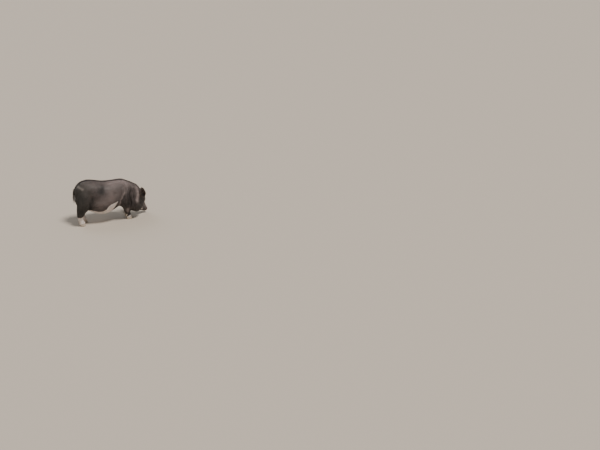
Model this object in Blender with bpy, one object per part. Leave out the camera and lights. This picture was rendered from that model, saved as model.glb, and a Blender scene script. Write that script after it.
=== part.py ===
"""A young pot-bellied pig at life size, standing on four feet with its head lowered and turned to its left.

Metres, +X to the front of the body, +Y to its left, +Z up. The soles stand on z = 0.
The soft body is modelled whole from lofted forms, blended into one skin and parted with thin cuts.
Eyes, ears, claws and the tail are closed solids of their own that meet it across a small gap.
"""
import random
from collections import namedtuple
from math import copysign, cos, pi, radians, sin, tau

import bmesh
import bpy
from mathutils import Matrix, Vector
from mathutils.bvhtree import BVHTree

# Parting gap between neighbouring solids
GAP = 0.0003

# Blending of the body: coarse for the trunk and limbs, fine for the face
BODY_VOXEL = 0.0045
BODY_SMOOTHING = 10
FACE_VOXEL = 0.0020
FACE_SMOOTHING = 3
TRIANGLES_KEPT = 0.031

# Head: where the back of the skull sits, how far the face points down and to the left
SKULL_BACK = Vector((0.183, -0.009, 0.154))
FACE_DOWN = radians(55)
FACE_LEFT = radians(37)
HEAD_LENGTH = 0.162

# Eyes and ears, in the head's own frame: x to the nose, y to the left, z to the forehead.
# The left ear stands out and the right one is laid back, each with its own place
EYE_PLACE = Vector((0.078, 0.0255, 0.0155))
EYE_FACING = Vector((0.32, 0.84, 0.42))
EYE_RADIUS = 0.0078
LID_RADIUS = 0.0029
LID_HALF_LENGTH = 0.0092
LID_HALF_HEIGHT = 0.0054
LID_LEVEL = 0.0046
BROW_PLACE = Vector((0.060, 0.0205, 0.0235))
BROW_RADII = (0.021, 0.014, 0.012)
EAR_ROOTS = {1: Vector((0.044, 0.037, 0.016)), -1: Vector((0.040, -0.034, 0.011))}
EAR_TIP_DIRECTIONS = {1: Vector((-0.60, 0.52, 0.60)), -1: Vector((-0.92, -0.33, 0.10))}
EAR_OPENINGS = {1: Vector((0.30, 0.90, 0.25)), -1: Vector((-0.06, -0.90, -0.18))}
EAR_LENGTH = 0.084
EAR_THICKNESS = 0.0030
EAR_TIP_THINNING = 0.55
EAR_BACK_BOW = 0.008
EAR_ROWS_BETWEEN = 2
EAR_COLUMNS = 13

# The cup of an ear: how far along, its radius there and how far round it closes to each side
EAR_CUPS = [
    (0.00, 0.0120, radians(170)),
    (0.18, 0.0150, radians(150)),
    (0.36, 0.0180, radians(104)),
    (0.54, 0.0185, radians(80)),
    (0.72, 0.0170, radians(66)),
    (0.88, 0.0115, radians(56)),
    (1.00, 0.0034, radians(44)),
]

# Nose disc and mouth, in the head's own frame
DISC_THICKNESS = 0.007
DISC_HALF_WIDTH = 0.0205
DISC_HALF_HEIGHT = 0.0175
DISC_LEVEL = 0.0010
NOSTRIL_SPACING = 0.0165
NOSTRIL_RADIUS = 0.0040
NOSTRIL_DEPTH = 0.0065
NOSTRIL_BEHIND_TIP = 0.0035
NOSTRIL_LEVEL = 0.002
LIP_RADIUS = 0.0031
MOUTH_GROOVE = 0.0016
MOUTH_GROOVE_OUTER = 0.009
MOUTH_GROOVE_INNER = -0.003

# Claws and the sloping line where the skin of the foot meets them
CORONET_HEIGHT = 0.0165
CORONET_SLOPE = 0.22
CLAW_LENGTH = 0.032
CLAW_FORWARD = 0.0045
CLAW_WIDTH = 0.0150
CLAW_TOE_NARROWING = 0.55
CLAW_LEAN_BACK = 0.0035
CLEFT_WIDTH = 0.0022
DEWCLAW_LENGTH = 0.017
DEWCLAW_RADIUS = 0.0046
DEWCLAW_HEIGHT = 0.034
DEWCLAW_BACK = 0.009
DEWCLAW_SIDEWAYS = 0.0085
DEWCLAW_DIRECTION = Vector((-0.62, 0.22, -0.75))

# Tail with its brush of long hair
TAIL_ROOT = Vector((-0.166, 0.0, 0.228))
TAIL_RADIUS = 0.0066
TAIL_TAPER = 0.62
TAIL_STEPS = [
    (0.0000, 0.0000, 0.000),
    (-0.0120, 0.0005, -0.004),
    (-0.0190, 0.0015, -0.017),
    (-0.0215, 0.0030, -0.034),
    (-0.0215, 0.0045, -0.052),
    (-0.0200, 0.0055, -0.066),
]
BRUSH_LOCKS = 9
BRUSH_LOCK_LENGTH = 0.034
BRUSH_LOCK_WIDTH = 0.0055
BRUSH_LOCK_THICKNESS = 0.0016
BRUSH_ROOT_SPREAD = 0.0012
BRUSH_TIP_SPREAD = (0.004, 0.010)
BRUSH_FALL = Vector((0.08, 0.03, -1))
BRUSH_TURN = 0.382 * tau

# Cuts between the named parts. The legs' outlines are (x, z) points as seen from the side
HEAD_CUT_POINT = Vector((0.174, 0, 0.120))
HEAD_CUT_FACING = Vector((0.93, -0.04, -0.36)).normalized()
NECK_CUT_POINT = Vector((0.128, 0, 0.150))
NECK_CUT_FACING = Vector((0.99, 0, -0.12)).normalized()
INNER_FACE = 0.011
OUTER_FACE = 0.150
HIND_OUTLINE = [
    (-0.240, -0.010),
    (-0.104, -0.010),
    (-0.104, 0.075),
    (-0.088, 0.130),
    (-0.092, 0.160),
    (-0.125, 0.184),
    (-0.240, 0.192),
]
FORE_OUTLINE = [
    (0.086, -0.010),
    (0.172, -0.010),
    (0.170, 0.030),
    (0.148, 0.048),
    (0.142, 0.078),
    (0.124, 0.135),
    (0.066, 0.143),
    (0.068, 0.105),
]

# A closed tube is skinned through sections: each is an oval square to its forward direction,
# with its half width to the side and its reach above and below the centre
Section = namedtuple("Section", "centre forward half_width rise drop")


def upright(along, back, belly, half_width, level, sideways=0.0):
    """A section of the trunk, square to the ground, from the height of its back and belly."""
    centre = Vector((along, sideways, level))
    return Section(centre, Vector((1, 0, 0)), half_width, back - level, level - belly)


TRUNK = [
    upright(-0.182, 0.214, 0.150, 0.024, 0.186),
    upright(-0.169, 0.239, 0.120, 0.049, 0.184),
    upright(-0.142, 0.263, 0.098, 0.067, 0.182),
    upright(-0.100, 0.273, 0.080, 0.077, 0.174),
    upright(-0.055, 0.265, 0.058, 0.086, 0.158),
    upright(-0.010, 0.254, 0.054, 0.090, 0.150),
    upright(0.035, 0.251, 0.070, 0.087, 0.152),
    upright(0.075, 0.252, 0.090, 0.079, 0.160),
    upright(0.110, 0.251, 0.090, 0.069, 0.166),
    upright(0.140, 0.237, 0.086, 0.056, 0.160),
]

NECK = [
    upright(0.105, 0.248, 0.086, 0.064, 0.162),
    upright(0.135, 0.240, 0.070, 0.064, 0.152, -0.002),
    upright(0.158, 0.230, 0.046, 0.058, 0.134, -0.009),
    upright(0.180, 0.219, 0.036, 0.050, 0.124, -0.013),
    upright(0.202, 0.203, 0.038, 0.042, 0.114, -0.010),
    upright(0.220, 0.178, 0.052, 0.030, 0.108, -0.004),
]


def on_face_axis(x, top, bottom, half_width):
    """A section of the head, square to the line from the skull's back to the nose."""
    return Section(Vector((x, 0, 0)), Vector((1, 0, 0)), half_width, top, -bottom)


SKULL = [
    on_face_axis(-0.022, 0.034, -0.048, 0.032),
    on_face_axis(0.000, 0.046, -0.060, 0.041),
    on_face_axis(0.028, 0.050, -0.066, 0.044),
    on_face_axis(0.055, 0.046, -0.058, 0.039),
    on_face_axis(0.077, 0.035, -0.044, 0.034),
    on_face_axis(0.097, 0.0245, -0.030, 0.026),
    on_face_axis(0.118, 0.0200, -0.022, 0.0220),
    on_face_axis(0.138, 0.0190, -0.0175, 0.0200),
    on_face_axis(HEAD_LENGTH - DISC_THICKNESS, 0.0180, -0.0165, 0.0190),
]

JOWL_PLACE = Vector((0.036, 0.024, -0.055))
JOWL_RADII = (0.056, 0.028, 0.043)

LOWER_JAW = [
    Section(Vector((0.020, 0, -0.040)), Vector((1, 0, 0)), 0.036, 0.020, 0.028),
    Section(Vector((0.060, 0, -0.034)), Vector((1, 0, 0)), 0.032, 0.020, 0.026),
    Section(Vector((0.090, 0, -0.0265)), Vector((1, 0, 0)), 0.0245, 0.014, 0.0220),
    Section(Vector((0.118, 0, -0.0225)), Vector((1, 0, 0)), 0.0175, 0.010, 0.0155),
    Section(Vector((0.134, 0, -0.0210)), Vector((1, 0, 0)), 0.0130, 0.008, 0.0115),
    Section(Vector((0.141, 0, -0.0205)), Vector((1, 0, 0)), 0.0085, 0.006, 0.0060),
]

# The line of the mouth on the left side, from the middle of the chin back to its corner
MOUTH_SIDE = [
    (0.1445, 0.0000, -0.0165),
    (0.1415, 0.0070, -0.0165),
    (0.1330, 0.0125, -0.0160),
    (0.1200, 0.0160, -0.0152),
    (0.1050, 0.0200, -0.0144),
    (0.0930, 0.0240, -0.0130),
]


def limb(points):
    """Sections down a leg from (x, y, z, half width, reach to the front, reach to the back)."""
    centres = [Vector(point[:3]) for point in points]
    sections = []
    for index, point in enumerate(points):
        before = centres[max(index - 1, 0)]
        after = centres[min(index + 1, len(points) - 1)]
        sections.append(Section(centres[index], (after - before).normalized(), *point[3:]))
    return sections


# Each foot stands at (x, y), with the pig's right side negative
FEET = {
    "hindleg_right": Vector((-0.159, -0.033, 0)),
    "hindleg_left": Vector((-0.132, 0.033, 0)),
    "foreleg_right": Vector((0.130, -0.026, 0)),
    "foreleg_left": Vector((0.136, 0.025, 0)),
}


def hind_leg(foot):
    """Ham, thigh, hock and cannon of a hind leg down to its foot."""
    side = copysign(1, foot.y)
    x, y = foot.x, foot.y
    return limb([
        (-0.122, side * 0.040, 0.205, 0.030, 0.040, 0.042),
        (-0.134, side * 0.047, 0.170, 0.034, 0.050, 0.046),
        ((x - 0.138) / 2, side * 0.050, 0.130, 0.032, 0.042, 0.037),
        (x - 0.003, side * 0.047, 0.096, 0.026, 0.029, 0.026),
        (x - 0.008, side * 0.041, 0.066, 0.0185, 0.018, 0.020),
        (x - 0.006, y, 0.044, 0.0150, 0.014, 0.0160),
        (x - 0.002, y, 0.027, 0.0158, 0.0165, 0.0165),
        (x + 0.003, y, 0.012, 0.0150, 0.0170, 0.0150),
    ])


def fore_leg(foot):
    """Shoulder, elbow, knee and cannon of a front leg down to its foot."""
    side = copysign(1, foot.y)
    x, y = foot.x, foot.y
    return limb([
        (0.094, side * 0.040, 0.200, 0.026, 0.034, 0.032),
        (0.094, side * 0.049, 0.165, 0.029, 0.042, 0.038),
        (0.100, side * 0.050, 0.125, 0.029, 0.036, 0.036),
        ((x + 0.104) / 2, side * 0.045, 0.092, 0.0235, 0.025, 0.028),
        (x - 0.006, side * 0.038, 0.062, 0.0175, 0.0175, 0.0180),
        (x - 0.003, y, 0.042, 0.0150, 0.0150, 0.0150),
        (x - 0.001, y, 0.027, 0.0155, 0.0160, 0.0155),
        (x + 0.003, y, 0.012, 0.0150, 0.0165, 0.0150),
    ])


HEAD_PLACE = (
    Matrix.Translation(SKULL_BACK)
    @ Matrix.Rotation(FACE_LEFT, 4, "Z")
    @ Matrix.Rotation(FACE_DOWN, 4, "Y")
)


def catmull_rom(before, start, end, after, part):
    """The point at part of the way from start to end on a smooth curve through all four."""
    return 0.5 * (
        2 * start
        + (end - before) * part
        + (2 * before - 5 * start + 4 * end - after) * part ** 2
        + (3 * start - before - 3 * end + after) * part ** 3
    )


def smooth_sections(sections, steps):
    """The sections with steps - 1 more between each pair, on a smooth curve through them."""
    result = []
    last = len(sections) - 1
    for index in range(last):
        four = [sections[min(max(index + offset, 0), last)] for offset in (-1, 0, 1, 2)]
        for step in range(steps):
            values = [catmull_rom(*field, step / steps) for field in zip(*four)]
            values[1] = values[1].normalized()
            result.append(Section(*values))
    result.append(sections[last])
    return result


def ring(section, count, roundness):
    """Points of a section's oval. Roundness 1 is an ellipse and a lower one is squarer."""
    side = Vector((0, 1, 0))
    side = (side - section.forward * side.dot(section.forward)).normalized()
    up = section.forward.cross(side)
    points = []
    for step in range(count):
        angle = tau * step / count
        across = copysign(abs(cos(angle)) ** roundness, cos(angle)) * section.half_width
        height = copysign(abs(sin(angle)) ** roundness, sin(angle))
        height *= section.rise if height > 0 else section.drop
        points.append(section.centre + side * across + up * height)
    return points


def skin_rings(rings):
    """A closed bmesh skinned through rings of points, with its two ends capped."""
    mesh = bmesh.new()
    loops = [[mesh.verts.new(point) for point in points] for points in rings]
    for lower, upper in zip(loops, loops[1:]):
        for index, corner in enumerate(lower):
            following = (index + 1) % len(lower)
            mesh.faces.new((corner, lower[following], upper[following], upper[index]))
    mesh.faces.new(reversed(loops[0]))
    mesh.faces.new(loops[-1])
    bmesh.ops.recalc_face_normals(mesh, faces=mesh.faces)
    return mesh


def loft(sections, steps=4, count=28, roundness=0.9):
    """A closed bmesh lofted through sections."""
    return skin_rings([ring(section, count, roundness) for section in smooth_sections(sections, steps)])


def placed(mesh, matrix):
    """The bmesh moved by a matrix."""
    bmesh.ops.transform(mesh, matrix=matrix, verts=mesh.verts)
    return mesh


def to_side(vector, side):
    """The vector for the left side, or mirrored for the right side."""
    return Vector((vector.x, side * vector.y, vector.z))


def ball(centre, radii):
    """A closed bmesh of an ellipsoid."""
    mesh = bmesh.new()
    bmesh.ops.create_uvsphere(mesh, u_segments=24, v_segments=16, radius=1)
    return placed(mesh, Matrix.Translation(centre) @ Matrix.Diagonal((*radii, 1)))


def tube(points, radius, count=8):
    """A closed bmesh of a round tube along points, thinner towards its two ends."""
    sections = []
    for index, point in enumerate(points):
        before = points[max(index - 1, 0)]
        after = points[min(index + 1, len(points) - 1)]
        thickness = radius * (0.5 + 0.5 * sin(pi * index / (len(points) - 1)))
        sections.append(Section(point, (after - before).normalized(), thickness, thickness, thickness))
    return skin_rings([ring(section, count, 1) for section in sections])


def mirrored(mesh):
    """A bmesh mirrored to the other side of the middle plane."""
    copy = mesh.copy()
    bmesh.ops.transform(copy, matrix=Matrix.Diagonal((1, -1, 1, 1)), verts=copy.verts)
    bmesh.ops.reverse_faces(copy, faces=copy.faces)
    return copy


def joined(meshes):
    """One bmesh that holds all the given ones, still overlapping."""
    whole = bmesh.new()
    for mesh in meshes:
        scrap = bpy.data.meshes.new("scrap")
        mesh.to_mesh(scrap)
        mesh.free()
        whole.from_mesh(scrap)
        bpy.data.meshes.remove(scrap)
    return whole


def grown(mesh, distance):
    """A copy of a bmesh whose faces are moved outwards by a distance."""
    copy = mesh.copy()
    copy.normal_update()
    moved = [vert.co + vert.normal * distance * vert.calc_shell_factor() for vert in copy.verts]
    for vert, place in zip(copy.verts, moved):
        vert.co = place
    return copy


def make_object(name, mesh, material=None):
    """An object from a bmesh, linked to the scene."""
    data = bpy.data.meshes.new(name)
    mesh.to_mesh(data)
    mesh.free()
    made = bpy.data.objects.new(name, data)
    bpy.context.scene.collection.objects.link(made)
    if material:
        data.materials.append(material)
    return made


def applied(made):
    """Puts an object's modifiers into its mesh and returns the result as a bmesh."""
    bpy.context.view_layer.update()
    graph = bpy.context.evaluated_depsgraph_get()
    result = bmesh.new()
    result.from_object(made, graph)
    old = made.data
    bpy.data.objects.remove(made)
    bpy.data.meshes.remove(old)
    return result


def blended(meshes, voxel, rounds):
    """Overlapping closed pieces as one smooth skin."""
    made = make_object("blend", joined(meshes))
    remesh = made.modifiers.new("skin", "REMESH")
    remesh.mode = "VOXEL"
    remesh.voxel_size = voxel
    smooth = made.modifiers.new("smooth", "SMOOTH")
    smooth.factor = 0.5
    smooth.iterations = rounds
    return applied(made)


def thinned(mesh):
    """The mesh with fewer, larger triangles where it is flat."""
    made = make_object("thin", mesh)
    decimate = made.modifiers.new("fewer", "DECIMATE")
    decimate.ratio = TRIANGLES_KEPT
    return applied(made)


def fused(pieces):
    """Overlapping closed pieces joined into one closed solid."""
    collection = bpy.data.collections.new("pieces")
    bpy.context.scene.collection.children.link(collection)
    base = make_object("base", pieces[0])
    others = []
    for piece in pieces[1:]:
        other = make_object("other", piece)
        bpy.context.scene.collection.objects.unlink(other)
        collection.objects.link(other)
        others.append(other)
    union = base.modifiers.new("union", "BOOLEAN")
    union.operation = "UNION"
    union.operand_type = "COLLECTION"
    union.collection = collection
    whole = applied(base)
    for other in others:
        bpy.data.objects.remove(other)
    bpy.data.collections.remove(collection)
    return largest(whole)


def cut(mesh, tool, operation, solver="EXACT"):
    """The mesh cut by, or joined with, a tool mesh. Both are used up."""
    made = make_object("work", mesh)
    cutter = make_object("tool", tool)
    boolean = made.modifiers.new("cut", "BOOLEAN")
    boolean.operation = operation
    boolean.solver = solver
    boolean.object = cutter
    result = applied(made)
    bpy.data.objects.remove(cutter)
    return largest(result)


def largest(mesh):
    """The mesh with only its largest closed surface left."""
    seen = set()
    islands = []
    for start in mesh.verts:
        if start in seen:
            continue
        island = [start]
        seen.add(start)
        for vert in island:
            for edge in vert.link_edges:
                other = edge.other_vert(vert)
                if other not in seen:
                    seen.add(other)
                    island.append(other)
        islands.append(island)
    islands.sort(key=len)
    for island in islands[:-1]:
        bmesh.ops.delete(mesh, geom=island, context="VERTS")
    return mesh


def prism(outline, near, far):
    """A closed bmesh: a side-view outline of (x, z) points, reaching across from near to far."""
    rings = [[Vector((x, y, z)) for x, z in outline] for y in (near, far)]
    return skin_rings(rings)


def half_space(point, normal, reach=0.5):
    """A large box on the side of a plane that its normal points to."""
    mesh = bmesh.new()
    bmesh.ops.create_cube(mesh, size=reach)
    turn = normal.to_track_quat("Z", "Y").to_matrix().to_4x4()
    shift = Matrix.Translation((0, 0, reach / 2))
    return placed(mesh, Matrix.Translation(point) @ turn @ shift)


def mouth_line(outwards=0.0, lift=0.0):
    """Points along the line of the mouth from corner to corner round the chin, moved outwards and up."""
    half = [Vector(point) for point in MOUTH_SIDE]
    corners = [Vector((x, -y, z)) for x, y, z in reversed(half[1:])] + half
    points = []
    for index, point in enumerate(corners):
        before = corners[max(index - 1, 0)]
        after = corners[min(index + 1, len(corners) - 1)]
        sideways = (after - before).cross(Vector((0, 0, 1))).normalized()
        points.append(point + sideways * outwards + Vector((0, 0, lift)))
    return points


def onto(surface, points):
    """The points moved to the nearest places on a surface."""
    return [surface.find_nearest(point)[0] for point in points]


def lips(surface):
    """Soft ridges on the snout's surface, just above and below the line of the mouth."""
    return [tube(onto(surface, mouth_line(0.0, offset * LIP_RADIUS)), LIP_RADIUS) for offset in (-1, 1)]


def mouth_groove():
    """A thin blade along the line of the mouth, which cuts the lips apart."""
    half = MOUTH_GROOVE / 2
    edges = [
        mouth_line(MOUTH_GROOVE_OUTER, -half),
        mouth_line(MOUTH_GROOVE_OUTER, half),
        mouth_line(MOUTH_GROOVE_INNER, half),
        mouth_line(MOUTH_GROOVE_INNER, -half),
    ]
    return skin_rings([list(corner) for corner in zip(*edges)])


def lids(side):
    """The two lids of an eye as one ridge round its opening, drawn out to both corners."""
    outwards = to_side(EYE_FACING, side).normalized()
    along = Vector((1, 0, 0))
    along = (along - outwards * along.dot(outwards)).normalized()
    up = outwards.cross(along) * side
    middle = to_side(EYE_PLACE, side) + outwards * LID_LEVEL
    mesh = bmesh.new()
    rounds = 20
    count = 8
    loops = []
    for step in range(rounds):
        swing = tau * step / rounds
        reach = along * cos(swing) * LID_HALF_LENGTH + up * sin(swing) * LID_HALF_HEIGHT
        sideways = (along * cos(swing) * LID_HALF_HEIGHT + up * sin(swing) * LID_HALF_LENGTH).normalized()
        loop = []
        for index in range(count):
            turn = tau * index / count
            rim = sideways * cos(turn) + outwards * sin(turn)
            loop.append(mesh.verts.new(middle + reach + rim * LID_RADIUS))
        loops.append(loop)
    for one, other in zip(loops, loops[1:] + loops[:1]):
        for index, corner in enumerate(one):
            following = (index + 1) % count
            mesh.faces.new((corner, one[following], other[following], other[index]))
    bmesh.ops.recalc_face_normals(mesh, faces=mesh.faces)
    return mesh


def jowls():
    """The heavy cheeks that hang at both sides of the jaw."""
    return [ball(to_side(JOWL_PLACE, side), JOWL_RADII) for side in (1, -1)]


def face_forms():
    """Snout, jaw, brows, nose disc, lips and lids, in the head's own frame."""
    snout = blended([loft(SKULL[3:]), loft(LOWER_JAW)], FACE_VOXEL, FACE_SMOOTHING)
    forms = [snout, nose_disc(), *lips(BVHTree.FromBMesh(snout))]
    for side in (1, -1):
        forms.append(ball(to_side(BROW_PLACE, side), BROW_RADII))
        forms.append(lids(side))
    return forms


def nose_disc():
    """The flat disc at the end of the nose, a little wider than the snout behind it."""
    start = HEAD_LENGTH - DISC_THICKNESS
    sections = []
    for along, size in ((0, 0.90), (0.25, 1.0), (0.8, 1.0), (1, 0.93)):
        centre = Vector((start + along * DISC_THICKNESS, 0, DISC_LEVEL))
        half_width = size * DISC_HALF_WIDTH
        half_height = size * DISC_HALF_HEIGHT
        sections.append(Section(centre, Vector((1, 0, 0)), half_width, half_height, half_height))
    return skin_rings([ring(section, 28, 0.9) for section in sections])


def nostril(side):
    """The hole of a nostril, deepening inwards."""
    centre = Vector((HEAD_LENGTH - NOSTRIL_BEHIND_TIP, side * NOSTRIL_SPACING / 2, NOSTRIL_LEVEL))
    return ball(centre, (NOSTRIL_DEPTH, NOSTRIL_RADIUS, NOSTRIL_RADIUS * 1.25))


def whole_body():
    """All the soft forms blended into one skin, fine enough for the face, then thinned."""
    limbs = [hind_leg(FEET[name]) for name in FEET if name.startswith("hind")]
    limbs += [fore_leg(FEET[name]) for name in FEET if name.startswith("fore")]
    forms = [loft(TRUNK, roundness=0.84), loft(NECK, roundness=0.88)]
    forms += [loft(sections, count=20) for sections in limbs]
    forms.append(placed(joined([loft(SKULL), *jowls()]), HEAD_PLACE))
    body = blended(forms, BODY_VOXEL, BODY_SMOOTHING)
    face = placed(joined(face_forms()), HEAD_PLACE)
    return thinned(blended([body, face], FACE_VOXEL, FACE_SMOOTHING))


def coronet_height(foot, x):
    """The height of the line between skin and claw, which rises to the front."""
    return CORONET_HEIGHT + CORONET_SLOPE * (x - foot.x)


def above_claws(foot):
    """The space over the line between skin and claw."""
    normal = Vector((-CORONET_SLOPE, 0, 1)).normalized()
    return half_space(Vector((foot.x, foot.y, CORONET_HEIGHT)), normal)


def leg_region(name):
    """The closed space that a leg is cut from."""
    side = copysign(1, FEET[name].y)
    outline = HIND_OUTLINE if name.startswith("hind") else FORE_OUTLINE
    region = prism(outline, INNER_FACE, OUTER_FACE)
    return region if side > 0 else mirrored(region)


def parted_body():
    """The whole body cut into its named parts, keyed by name."""
    rest = whole_body()
    parts = {}
    for name in FEET:
        region = leg_region(name)
        leg = cut(rest.copy(), region.copy(), "INTERSECT")
        parts[name] = cut(leg, above_claws(FEET[name]), "INTERSECT")
        rest = cut(rest, grown(region, GAP), "DIFFERENCE")
        region.free()
    parts["head"] = cut(rest.copy(), half_space(HEAD_CUT_POINT, HEAD_CUT_FACING), "INTERSECT")
    behind_head = HEAD_CUT_POINT - HEAD_CUT_FACING * GAP
    rest = cut(rest, half_space(behind_head, HEAD_CUT_FACING), "DIFFERENCE")
    parts["neck"] = cut(rest.copy(), half_space(NECK_CUT_POINT, NECK_CUT_FACING), "INTERSECT")
    behind_neck = NECK_CUT_POINT - NECK_CUT_FACING * GAP
    parts["torso"] = cut(rest, half_space(behind_neck, NECK_CUT_FACING), "DIFFERENCE")
    return parts


def eyeball(side, radius):
    """An eye, or with a larger radius the socket that holds it."""
    mesh = bmesh.new()
    bmesh.ops.create_uvsphere(mesh, u_segments=14, v_segments=8, radius=radius)
    return placed(mesh, HEAD_PLACE @ Matrix.Translation(to_side(EYE_PLACE, side)))


def smooth_cups():
    """The cup of an ear at its given places and evenly between them, on a smooth curve."""
    last = len(EAR_CUPS) - 1
    rows = []
    for index in range(last):
        four = [EAR_CUPS[min(max(index + offset, 0), last)] for offset in (-1, 0, 1, 2)]
        for step in range(EAR_ROWS_BETWEEN):
            rows.append([catmull_rom(*field, step / EAR_ROWS_BETWEEN) for field in zip(*four)])
    rows.append(EAR_CUPS[last])
    return rows


def ear(side):
    """A pricked ear: a cupped leaf, rolled at its root and open towards its pointed tip."""
    outer = []
    inner = []
    for along, radius, curl in smooth_cups():
        thickness = EAR_THICKNESS * (1 - EAR_TIP_THINNING * along)
        back = EAR_BACK_BOW * along ** 2 - EAR_CUPS[0][1]
        for line, reach in ((outer, radius + thickness), (inner, radius)):
            points = []
            for column in range(EAR_COLUMNS):
                swing = curl * (2 * column / (EAR_COLUMNS - 1) - 1)
                points.append(Vector((
                    back + radius - reach * cos(swing),
                    reach * sin(swing),
                    EAR_LENGTH * along,
                )))
            line.append(points)
    return placed(shell(outer, inner), HEAD_PLACE @ ear_place(side))


def ear_place(side):
    """Where an ear stands on the head, with its tip up and its cup open to the side and the front."""
    tip = EAR_TIP_DIRECTIONS[side].normalized()
    open_to = EAR_OPENINGS[side]
    open_to = (open_to - tip * open_to.dot(tip)).normalized()
    across = tip.cross(open_to)
    turn = Matrix((open_to, across, tip)).transposed().to_4x4()
    return Matrix.Translation(EAR_ROOTS[side]) @ turn


def shell(outer, inner):
    """A closed bmesh between two grids of points with the same rows and columns."""
    mesh = bmesh.new()
    grids = [[[mesh.verts.new(point) for point in points] for points in grid] for grid in (outer, inner)]
    rows = len(outer)
    columns = len(outer[0])

    def two_triangles(a, b, c, d):
        mesh.faces.new((a, b, c))
        mesh.faces.new((a, c, d))

    for grid in grids:
        for row in range(rows - 1):
            for column in range(columns - 1):
                two_triangles(grid[row][column], grid[row][column + 1],
                              grid[row + 1][column + 1], grid[row + 1][column])
    edge = [(row, 0) for row in range(rows)]
    edge += [(rows - 1, column) for column in range(1, columns)]
    edge += [(row, columns - 1) for row in range(rows - 2, -1, -1)]
    edge += [(0, column) for column in range(columns - 2, 0, -1)]
    for start, end in zip(edge, edge[1:] + edge[:1]):
        out_grid, in_grid = grids
        two_triangles(out_grid[start[0]][start[1]], out_grid[end[0]][end[1]],
                      in_grid[end[0]][end[1]], in_grid[start[0]][start[1]])
    bmesh.ops.recalc_face_normals(mesh, faces=mesh.faces)
    return mesh


def claw(foot, inner_or_outer):
    """One main claw: a wedge of horn with a flat sole, pointed at the toe, level at its top."""
    outwards = copysign(1, foot.y) * inner_or_outer
    count = 18
    rings = []
    for height, size in ((0.0, 0.97), (0.12, 1.0), (0.55, 0.96), (1.0, 0.85)):
        points = []
        for step in range(count):
            angle = tau * step / count
            along = cos(angle) * CLAW_LENGTH / 2 * size
            narrowing = 1 - CLAW_TOE_NARROWING * max(cos(angle), 0) ** 2
            across = sin(angle) * CLAW_WIDTH / 2 * size * narrowing
            x = foot.x + CLAW_FORWARD + along - CLAW_LEAN_BACK * height
            level = height * (coronet_height(foot, x) - GAP)
            points.append(Vector((x, across, level)))
        rings.append(points)
    mesh = skin_rings(rings)
    shift = outwards * (CLAW_WIDTH + CLEFT_WIDTH) / 2
    return placed(mesh, Matrix.Translation((0, foot.y + shift, 0)))


def dewclaw(foot, inner_or_outer):
    """One of the two small claws behind the foot, pointing down and back."""
    outwards = copysign(1, foot.y) * inner_or_outer
    root = Vector((foot.x - DEWCLAW_BACK, foot.y + outwards * DEWCLAW_SIDEWAYS, DEWCLAW_HEIGHT))
    direction = to_side(DEWCLAW_DIRECTION, outwards).normalized()
    sections = []
    for part, size in ((0.0, 1.0), (0.45, 0.95), (0.8, 0.68), (1.0, 0.32)):
        radius = DEWCLAW_RADIUS * size
        centre = root + direction * part * DEWCLAW_LENGTH
        sections.append(Section(centre, direction, radius, radius, radius))
    return skin_rings([ring(section, 10, 1) for section in sections])


def tail_line():
    """Points down the hanging tail, from inside the rump to its tip."""
    return [TAIL_ROOT + Vector(step) for step in TAIL_STEPS]


def brush_lock(root, fall, spread, turn, length):
    """A flat, tapered lock of hair that bends as it falls."""
    across = Vector((sin(turn), -cos(turn), 0))
    outwards = Vector((cos(turn), sin(turn), 0))
    rings = []
    for step in range(5):
        part = step / 4
        centre = root + fall * length * part + outwards * spread * part ** 2
        half_width = BRUSH_LOCK_WIDTH / 2 * (1 - 0.82 * part ** 1.5)
        half_thickness = BRUSH_LOCK_THICKNESS / 2 * (1 - 0.55 * part)
        rings.append([
            centre + across * half_width,
            centre + outwards * half_thickness,
            centre - across * half_width,
            centre - outwards * half_thickness,
        ])
    return skin_rings(rings)


def tail():
    """The tail and the brush of long hair at its end, fused into one solid."""
    line = tail_line()
    centres = []
    for index, point in enumerate(line):
        radius = TAIL_RADIUS * (1 - TAIL_TAPER * index / (len(line) - 1))
        before = line[max(index - 1, 0)]
        after = line[min(index + 1, len(line) - 1)]
        centres.append(Section(point, (after - before).normalized(), radius, radius, radius))
    pieces = [loft(centres, steps=2, count=12, roundness=1)]
    chance = random.Random(4)
    for index in range(BRUSH_LOCKS):
        turn = BRUSH_TURN * index
        outwards = Vector((cos(turn), sin(turn), 0))
        root = line[-2].lerp(line[-1], index / BRUSH_LOCKS) + outwards * BRUSH_ROOT_SPREAD
        length = BRUSH_LOCK_LENGTH * chance.uniform(0.75, 1.0)
        spread = chance.uniform(*BRUSH_TIP_SPREAD)
        pieces.append(brush_lock(root, BRUSH_FALL, spread, turn, length))
    return fused(pieces)


def skin_material(name, colour, roughness):
    """A Principled material of one colour."""
    material = bpy.data.materials.new(name)
    material.use_nodes = True
    shader = material.node_tree.nodes["Principled BSDF"]
    shader.inputs["Base Color"].default_value = (*colour, 1)
    shader.inputs["Roughness"].default_value = roughness
    shader.inputs["Metallic"].default_value = 0
    return material


def finish(made, sharp_angle):
    """Smooth shading, with edges kept sharp above an angle."""
    made.data.shade_smooth()
    made.data.set_sharp_from_angle(angle=sharp_angle)


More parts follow.
